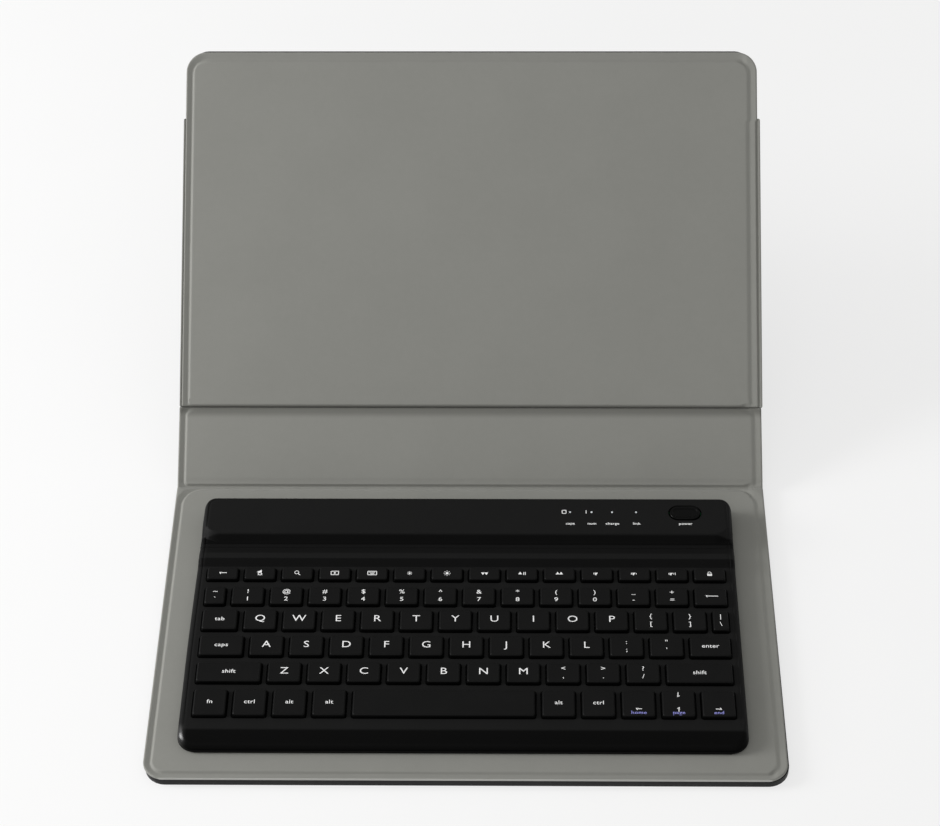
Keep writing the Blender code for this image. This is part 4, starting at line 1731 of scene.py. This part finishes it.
@dataclass
class Printer:
    """Prints letters and pictures as thin ink shapes on a level face."""

    ink: float = 0.012
    stroke: float = 0.34
    stretch: float = 1.16

    def text(self, shape: Shape, body: str, x: float, y: float, z: float, height: float) -> None:
        """Print centred text whose capitals are height tall.

        Args:
            shape: The shape in hand.
            body: The words.
            x: Place across.
            y: Place from front to rear.
            z: Height.
            height: Height of a capital.
        """
        curve = bpy.data.curves.new("print", "FONT")
        curve.body = body
        curve.size = height / CAPITAL_SHARE
        curve.extrude = self.ink
        curve.offset = 0.055 - height * 0.02
        curve.resolution_u = 3
        curve.space_character = 1.06
        curve.align_x, curve.align_y = "CENTER", "CENTER"
        holder = bpy.data.objects.new("print", curve)
        bpy.context.scene.collection.objects.link(holder)
        mesh = bpy.data.meshes.new_from_object(holder.evaluated_get(bpy.context.evaluated_depsgraph_get()))
        mesh.transform(Matrix.Translation((x, y, z)) @ Matrix.Diagonal((self.stretch, 1.0, 1.0, 1.0)))
        shape.from_mesh(mesh)
        bpy.data.objects.remove(holder)
        bpy.data.curves.remove(curve)
        bpy.data.meshes.remove(mesh)

    def bar(self, shape: Shape, start: Sequence[float], end: Sequence[float], z: float,
            width: float | None = None) -> None:
        """Print a straight stroke.

        Args:
            shape: The shape in hand.
            start: First end.
            end: Last end.
            z: Height.
            width: Width of the stroke.
        """
        first, second = Vector((*start, z)), Vector((*end, z))
        run = second - first
        size = (run.length, width or self.stroke, 2 * self.ink)
        matrix = Matrix.Translation((first + second) / 2) @ Matrix.Rotation(math.atan2(run.y, run.x), 4, "Z")
        bmesh.ops.create_cube(shape, size=1.0, matrix=matrix @ Matrix.Diagonal((*size, 1.0)))

    def disc(self, shape: Shape, x: float, y: float, z: float, radius: float, sides: int = 20,
             turn_deg: float = 0.0) -> None:
        """Print a filled disc, or a triangle when it has three sides.

        Args:
            shape: The shape in hand.
            x: Place across.
            y: Place from front to rear.
            z: Height.
            radius: Its radius.
            sides: Number of sides.
            turn_deg: Turn about its middle.
        """
        matrix = Matrix.Translation((x, y, z)) @ Matrix.Rotation(math.radians(turn_deg), 4, "Z")
        bmesh.ops.create_cone(shape, cap_ends=True, segments=sides, radius1=radius, radius2=radius,
                              depth=2 * self.ink, matrix=matrix)

    def ring(self, shape: Shape, x: float, y: float, z: float, radius: float) -> None:
        """Print a round outline as short strokes.

        Args:
            shape: The shape in hand.
            x: Place across.
            y: Place from front to rear.
            z: Height.
            radius: Its radius.
        """
        steps = 16
        points = [(x + radius * math.cos(math.tau * k / steps), y + radius * math.sin(math.tau * k / steps))
                  for k in range(steps + 1)]
        for start, end in zip(points, points[1:]):
            self.bar(shape, start, end, z, self.stroke * 0.85)

    def outline(self, shape: Shape, x: float, y: float, z: float, width: float, depth: float) -> None:
        """Print a rectangle's outline.

        Args:
            shape: The shape in hand.
            x: Place across.
            y: Place from front to rear.
            z: Height.
            width: Size across.
            depth: Size from front to rear.
        """
        left, right, front, rear = x - width / 2, x + width / 2, y - depth / 2, y + depth / 2
        corners = ((left, front), (right, front), (right, rear), (left, rear), (left, front))
        for start, end in zip(corners, corners[1:]):
            self.bar(shape, start, end, z)

    def arrow(self, shape: Shape, x: float, y: float, z: float, turn_deg: float, length: float) -> None:
        """Print an arrow whose head points along turn_deg.

        Args:
            shape: The shape in hand.
            x: Place across.
            y: Place from front to rear.
            z: Height.
            turn_deg: Way it points.
            length: Its length.
        """
        way = Vector((math.cos(math.radians(turn_deg)), math.sin(math.radians(turn_deg))))
        middle = Vector((x, y))
        self.bar(shape, middle - way * length / 2, middle + way * length / 4, z)
        head = middle + way * length / 4
        self.disc(shape, head.x, head.y, z, 0.75, 3, turn_deg)

    def rays(self, shape: Shape, x: float, y: float, z: float, reach: float) -> None:
        """Print a small sun.

        Args:
            shape: The shape in hand.
            x: Place across.
            y: Place from front to rear.
            z: Height.
            reach: Length of a ray from the middle.
        """
        self.disc(shape, x, y, z, reach * 0.42)
        for step in range(8):
            angle = math.tau * step / 8
            way = Vector((math.cos(angle), math.sin(angle)))
            middle = Vector((x, y))
            self.bar(shape, middle + way * reach * 0.66, middle + way * reach, z, 0.24)

    def speaker(self, shape: Shape, x: float, y: float, z: float, waves: int) -> None:
        """Print a loudspeaker with a number of strokes beside it.

        Args:
            shape: The shape in hand.
            x: Place across.
            y: Place from front to rear.
            z: Height.
            waves: Number of strokes.
        """
        self.bar(shape, (x - 1.5, y), (x - 0.8, y), z, 0.8)
        self.disc(shape, x - 0.5, y, z, 1.05, 3, 180)
        for wave in range(waves):
            offset = 0.75 + wave * 0.65
            self.bar(shape, (x + offset, y - 0.4 - wave * 0.3), (x + offset, y + 0.4 + wave * 0.3), z, 0.26)

    def picture(self, shape: Shape, mark: Mark, x: float, y: float, z: float) -> None:
        """Print one of the key pictures, centred.

        Args:
            shape: The shape in hand.
            mark: Which picture.
            x: Place across.
            y: Place from front to rear.
            z: Height.
        """
        draw = {
            Mark.BACK: lambda: self.arrow(shape, x, y, z, 180, 3.6),
            Mark.SEARCH: lambda: (self.ring(shape, x - 0.3, y + 0.3, z, 0.85),
                                  self.bar(shape, (x + 0.35, y - 0.4), (x + 1.2, y - 1.25), z)),
            Mark.HOME: lambda: (self.disc(shape, x, y + 0.5, z, 1.35, 3, 90),
                                self.outline(shape, x, y - 0.65, z, 1.5, 1.1)),
            Mark.FRAME: lambda: (self.outline(shape, x, y, z, 3.2, 2.0), self.disc(shape, x, y, z, 0.45)),
            Mark.KEYS: lambda: (self.outline(shape, x, y, z, 3.8, 2.0),
                                self.bar(shape, (x - 0.9, y - 0.4), (x + 0.9, y - 0.4), z),
                                self.bar(shape, (x - 1.2, y + 0.35), (x + 1.2, y + 0.35), z, 0.24)),
            Mark.DIM: lambda: self.rays(shape, x, y, z, 1.05),
            Mark.BRIGHT: lambda: self.rays(shape, x, y, z, 1.5),
            Mark.PREVIOUS: lambda: (self.disc(shape, x - 0.7, y, z, 0.95, 3, 180),
                                    self.disc(shape, x + 0.8, y, z, 0.95, 3, 180)),
            Mark.PLAY: lambda: (self.disc(shape, x - 0.8, y, z, 1.0, 3, 0),
                                self.bar(shape, (x + 0.7, y - 0.8), (x + 0.7, y + 0.8), z),
                                self.bar(shape, (x + 1.4, y - 0.8), (x + 1.4, y + 0.8), z)),
            Mark.NEXT: lambda: (self.disc(shape, x - 0.8, y, z, 0.95, 3, 0),
                                self.disc(shape, x + 0.7, y, z, 0.95, 3, 0)),
            Mark.QUIET: lambda: self.speaker(shape, x, y, z, 0),
            Mark.SOFTER: lambda: self.speaker(shape, x, y, z, 1),
            Mark.LOUDER: lambda: self.speaker(shape, x, y, z, 2),
            Mark.LOCK: lambda: (self.bar(shape, (x, y - 1.1), (x, y + 0.2), z, 2.0),
                                self.ring(shape, x, y + 0.5, z, 0.65)),
            Mark.ERASE: lambda: self.arrow(shape, x, y, z, 180, 6.4),
            Mark.LEFT: lambda: self.arrow(shape, x, y - 3.1, z, 180, 2.6),
            Mark.UP_DOWN: lambda: (self.arrow(shape, x, y + 4.4, z, 270, 2.4),
                                   self.arrow(shape, x, y - 3.4, z, 90, 2.4)),
            Mark.RIGHT: lambda: self.arrow(shape, x, y - 3.1, z, 0, 2.6),
            Mark.BLANK: lambda: None,
        }
        draw[mark]()


@dataclass
class Keys:
    """Every key cap, with its print, on the body that it moves with."""

    palette: Palette
    printer: Printer
    corner: float = 1.0
    taper: float = 0.6
    shoulder: float = 10.35
    top_round: float = 0.45
    dish: float = 0.05
    least_dished: float = 5.0
    letter: float = 3.6
    pair: float = 2.3
    word: float = 2.0
    second_word: float = 1.7

    def cap(self, shape: Shape, x_span: Span, y_span: Span,
            z_span: Span) -> None:
        """Add one cap: a straight skirt, a drafted upper part, rounded edges and a shallow dish.

        Args:
            shape: The shape in hand.
            x_span: From left to right.
            y_span: From front to rear.
            z_span: From bottom to top.
        """
        verts = add_box(shape, x_span, y_span, (z_span[0], self.shoulder))
        edges = [e for e in {e for v in verts for e in v.link_edges} if is_upright(e)]
        made = bmesh.ops.bevel(shape, geom=edges, affect="EDGES", offset=self.corner, segments=3, profile=0.5,
                               material=-1, clamp_overlap=True)
        shape.normal_update()
        tops = [f for v in made["verts"] for f in v.link_faces if f.normal.z > LEVEL]
        top = max(tops, key=lambda f: f.calc_area())
        width, depth = x_span[1] - x_span[0], y_span[1] - y_span[0]
        centre = Vector((sum(x_span) / 2, sum(y_span) / 2, 0))
        self.raise_face(shape, top, centre, 1 - 2 * self.taper / width, 1 - 2 * self.taper / depth,
                        z_span[1] - self.shoulder)
        top = self.top_face(shape, centre, z_span[1])
        bevel(shape, top.edges[:], self.top_round, 3)
        shape.normal_update()
        top = self.top_face(shape, centre, z_span[1])
        if min(width, depth) > self.least_dished:
            for inset, rise in ((0.12, 0.0), (0.2, -self.dish), (0.05, 0.0)):
                bmesh.ops.inset_region(shape, faces=[top], thickness=inset, depth=rise, use_even_offset=True)

    def raise_face(self, shape: Shape, face: bmesh.types.BMFace, centre: Vector, x_scale: float,
                   y_scale: float, rise: float) -> None:
        """Extrude one face upwards, narrowing it about a centre.

        Args:
            shape: The shape in hand.
            face: The face.
            centre: Its middle.
            x_scale: Narrowing across.
            y_scale: Narrowing from front to rear.
            rise: How far it goes up.
        """
        made = bmesh.ops.extrude_face_region(shape, geom=[face])["geom"]
        if face.is_valid:
            bmesh.ops.delete(shape, geom=[face], context="FACES_ONLY")
        moved = [item for item in made if isinstance(item, bmesh.types.BMVert)]
        about = Matrix.Translation(centre)
        narrow = Matrix.Diagonal((x_scale, y_scale, 1.0, 1.0))
        bmesh.ops.transform(shape, matrix=about @ narrow @ about.inverted(), verts=moved)
        bmesh.ops.translate(shape, verts=moved, vec=(0, 0, rise))

    def top_face(self, shape: Shape, centre: Vector, level: float) -> bmesh.types.BMFace:
        """Return the level face on top of the key at a centre.

        Args:
            shape: The shape in hand.
            centre: Its middle.
            level: Its height.

        Returns:
            The face.
        """
        shape.normal_update()
        level_faces = [f for f in shape.faces if f.normal.z > LEVEL
                       and abs(f.calc_center_median().z - level) < 0.01]
        return min(level_faces, key=lambda f: (f.calc_center_median().xy - centre.xy).length)

    def print_key(self, shape: Shape, legend: object, x: float, y: float, z: float) -> None:
        """Print a key's legend about its middle.

        Args:
            shape: The shape in hand.
            legend: Its letters, words or picture.
            x: Place across.
            y: Place from front to rear.
            z: Height.
        """
        if isinstance(legend, Mark):
            self.printer.picture(shape, legend, x, y, z)
        elif "\n" in legend:
            upper, lower = legend.split("\n")
            self.printer.text(shape, upper, x, y + 2.0, z, self.pair)
            self.printer.text(shape, lower, x, y - 2.2, z, self.pair)
        elif len(legend) == 1:
            self.printer.text(shape, legend, x, y + 0.3, z, self.letter)
        else:
            self.printer.text(shape, legend, x, y, z, self.word)

    def build(self) -> None:
        """Build every bank of keys with its print."""
        bodies = frame["record"]["behaviour"]["bodies"]
        body_of = {node: body for body, nodes in bodies.items() for node in nodes}
        for bank in KEY_BANKS:
            low, high = node_box(bank.node)
            caps, ink, second = bmesh.new(), bmesh.new(), bmesh.new()
            for legend, (x_span, y_span) in zip(bank.legends, bank.cells()):
                self.cap(caps, x_span, y_span, (low.z, high.z))
                least = min(x_span[1] - x_span[0], y_span[1] - y_span[0])
                face = high.z - (self.dish if least > self.least_dished else 0)
                self.print_key(ink, legend, sum(x_span) / 2, sum(y_span) / 2, face + self.printer.ink)
                if legend in SECOND_WORDS:
                    self.printer.text(second, SECOND_WORDS[legend], sum(x_span) / 2, y_span[0] + 1.9,
                                      face + self.printer.ink, self.second_word)
            piece = finish_piece(caps, f"{bank.node}_cap", self.palette.key, 40.0)
            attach(piece, body_of[bank.node])
            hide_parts(bank.node)
            prints = ((ink, "print", self.palette.ink), (second, "accent", self.palette.second_ink))
            for marks, suffix, finish in prints:
                if len(marks.verts):
                    bmesh.ops.recalc_face_normals(marks, faces=marks.faces)
                    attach(finish_piece(marks, f"{bank.node}_{suffix}", finish), body_of[bank.node])
                else:
                    marks.free()


@dataclass
class Controls:
    """The oval power button, the printed marks over the light holes and their small labels."""

    palette: Palette
    printer: Printer
    word: float = 1.35
    word_drop: float = 7.0

    @staticmethod
    def light_places(guide_left: float, guide_right: float, end: float = 3.0) -> list[float]:
        """Return where the light guide's four prongs stand, from the ends of its bar."""
        left, right = guide_left + end, guide_right - end
        return [left + (right - left) * share for share in (0.0, 0.326, 0.636, 1.0)]

    def button(self) -> Piece:
        """Build the button: a rounded oval rim round a dished oval centre.

        Returns:
            The button.
        """
        low, high = node_box("power_button")
        middle = (low + high) / 2
        shape = bmesh.new()
        top = add_stadium(shape, middle.x, middle.y, high.x - low.x, high.y - low.y, (high.z - 2.0, high.z))
        bevel(shape, top.edges[:], 0.5, 4)
        shape.normal_update()
        top = max((f for f in shape.faces if f.normal.z > LEVEL), key=lambda f: f.calc_area())
        for rise, inset in ((0.0, 0.55), (-0.3, 0.35), (-0.12, 0.7), (0.06, 0.6), (0.0, 0.2)):
            bmesh.ops.inset_region(shape, faces=[top], thickness=inset, depth=rise, use_even_offset=True)
        button = finish_piece(shape, "power_button_cap", self.palette.button, 40.0)
        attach(button, "power_button")
        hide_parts("power_button")
        return button

    def labels(self, level: float) -> Piece:
        """Print the marks beside the light holes and the words under them.

        Args:
            level: Height of the platform's top.

        Returns:
            The labels.
        """
        low, high = node_box("indicator_light_guide")
        y = (low.y + high.y) / 2
        places = self.light_places(low.x, high.x)
        button_low, button_high = node_box("power_button")
        z = level + self.printer.ink
        shape = bmesh.new()
        self.printer.outline(shape, places[0] - 2.6, y, z, 1.7, 1.9)
        self.printer.bar(shape, (places[1] - 2.4, y - 0.9), (places[1] - 2.4, y + 0.9), z)
        for x, word in zip(places, ("caps", "num", "charge", "link")):
            self.printer.text(shape, word, x, y - self.word_drop, z, self.word)
        middle = (button_low.x + button_high.x) / 2
        self.printer.text(shape, "power", middle, y - self.word_drop, z, self.word)
        bmesh.ops.recalc_face_normals(shape, faces=shape.faces)
        labels = finish_piece(shape, "control_labels", self.palette.ink)
        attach(labels, "keyboard")
        return labels


# ------------------------------------------------------------ carried-over CAD


def dress_cad_nodes(palette: Palette) -> None:
    """Give every CAD node that stays its own procedural finish.

    Args:
        palette: The finishes.
    """
    finishes = {
        "front_board": palette.board, "spine_board": palette.board, "plate_board": palette.board,
        "rear_board": palette.felt, "key_membrane": palette.membrane, "circuit_board": palette.circuit,
        "battery": palette.wrap, "charging_socket": palette.metal, "indicator_light_guide": palette.light,
        "magnet_strip_front": palette.rubber, "magnet_strip_rear": palette.rubber,
    }
    for node, material in finishes.items():
        mesh = frame["nodes"][node].data
        mesh.materials.clear()
        mesh.materials.append(material)
        LOG.info("%s keeps its CAD shape", node)


# ------------------------------------------------------------------- the studio


@dataclass
class Studio:
    """Floor, soft light and camera."""

    palette: Palette
    eye: Vector = field(default_factory=lambda: Vector((0.01577, -0.72346, 0.85439)))
    pitch_deg: float = 44.922
    yaw_deg: float = -1.086
    roll_deg: float = -0.664
    lens: float = 99.46
    sky: float = 0.52
    aim: tuple[float, float, float] = (0.0, 0.05, 0.0)

    def floor(self) -> Piece:
        """Lay the pale floor just under the object.

        Returns:
            The floor.
        """
        shape = bmesh.new()
        bmesh.ops.create_grid(shape, x_segments=4, y_segments=4, size=6000)
        floor = finish_piece(shape, "studio_floor", self.palette.floor)
        return floor

    def lamp(self, name: str, place: tuple[float, float, float], size: float, power: float) -> None:
        """Hang one soft square light.

        Args:
            name: Its name.
            place: Where it hangs, in metres.
            size: Length of its side.
            power: Its power in watts.
        """
        light = bpy.data.lights.new(name, "AREA")
        light.shape = "SQUARE"
        light.size = size
        light.energy = power
        holder = bpy.data.objects.new(name, light)
        holder.location = place
        holder.rotation_euler = (Vector(self.aim) - Vector(place)).to_track_quat("-Z", "Y").to_euler()
        bpy.context.scene.collection.objects.link(holder)

    def lights(self) -> None:
        """Light the scene evenly, with a stronger soft source low on the left."""
        world = bpy.data.worlds.new("studio_sky")
        world.use_nodes = True
        sky = world.node_tree.nodes["Background"]
        sky.inputs["Color"].default_value = (1.0, 1.0, 0.985, 1.0)
        sky.inputs["Strength"].default_value = self.sky
        bpy.context.scene.world = world
        self.lamp("side_light", (-1.3, 0.05, 0.55), 0.5, 15.5)
        self.lamp("rear_light", (-1.2, 0.4, 0.8), 0.6, 2.5)
        self.lamp("front_light", (-0.2, -1.4, 1.3), 1.0, 3.6)
        bpy.context.scene.view_settings.view_transform = "Standard"

    def camera(self) -> None:
        """Set up the camera from its direction angles."""
        pitch, yaw, roll_angle = (math.radians(a) for a in (self.pitch_deg, self.yaw_deg, self.roll_deg))
        level = Vector((math.sin(yaw), math.cos(yaw), 0))
        right = Vector((math.cos(yaw), -math.sin(yaw), 0))
        ahead = level * math.cos(pitch) + Vector((0, 0, -math.sin(pitch)))
        up = right.cross(ahead)
        turned_right = right * math.cos(roll_angle) + up * math.sin(roll_angle)
        turned_up = up * math.cos(roll_angle) - right * math.sin(roll_angle)
        data = bpy.data.cameras.new("camera")
        data.lens = self.lens
        data.clip_start, data.clip_end = 0.01, 50.0
        camera = bpy.data.objects.new("camera", data)
        camera.matrix_world = Matrix.Translation(self.eye) @ Matrix(
            (turned_right, turned_up, -ahead)).transposed().to_4x4()
        bpy.context.scene.collection.objects.link(camera)
        bpy.context.scene.camera = camera


def main() -> None:
    """Build the looks around the frame, in the order in which the object goes together."""
    logging.basicConfig(level=logging.INFO, format="%(name)s: %(message)s")
    palette = Palette()
    studio = Studio(palette)
    studio.camera()
    studio.lights()
    studio.floor()
    dress_cad_nodes(palette)
    panels = Panels(FoldPlan.from_frame(frame))
    skins = Skins(panels, palette)
    skins.front()
    skins.spine()
    skins.rear()
    skins.plate()
    linings = Linings(panels, palette)
    linings.front()
    linings.plate()
    linings.rear()
    housing = Housing(palette)
    housing.base()
    housing.top()
    printer = Printer()
    Keys(palette, printer).build()
    controls = Controls(palette, printer)
    controls.button()
    controls.labels(housing.platform)


if __name__ == "__main__":
    main()
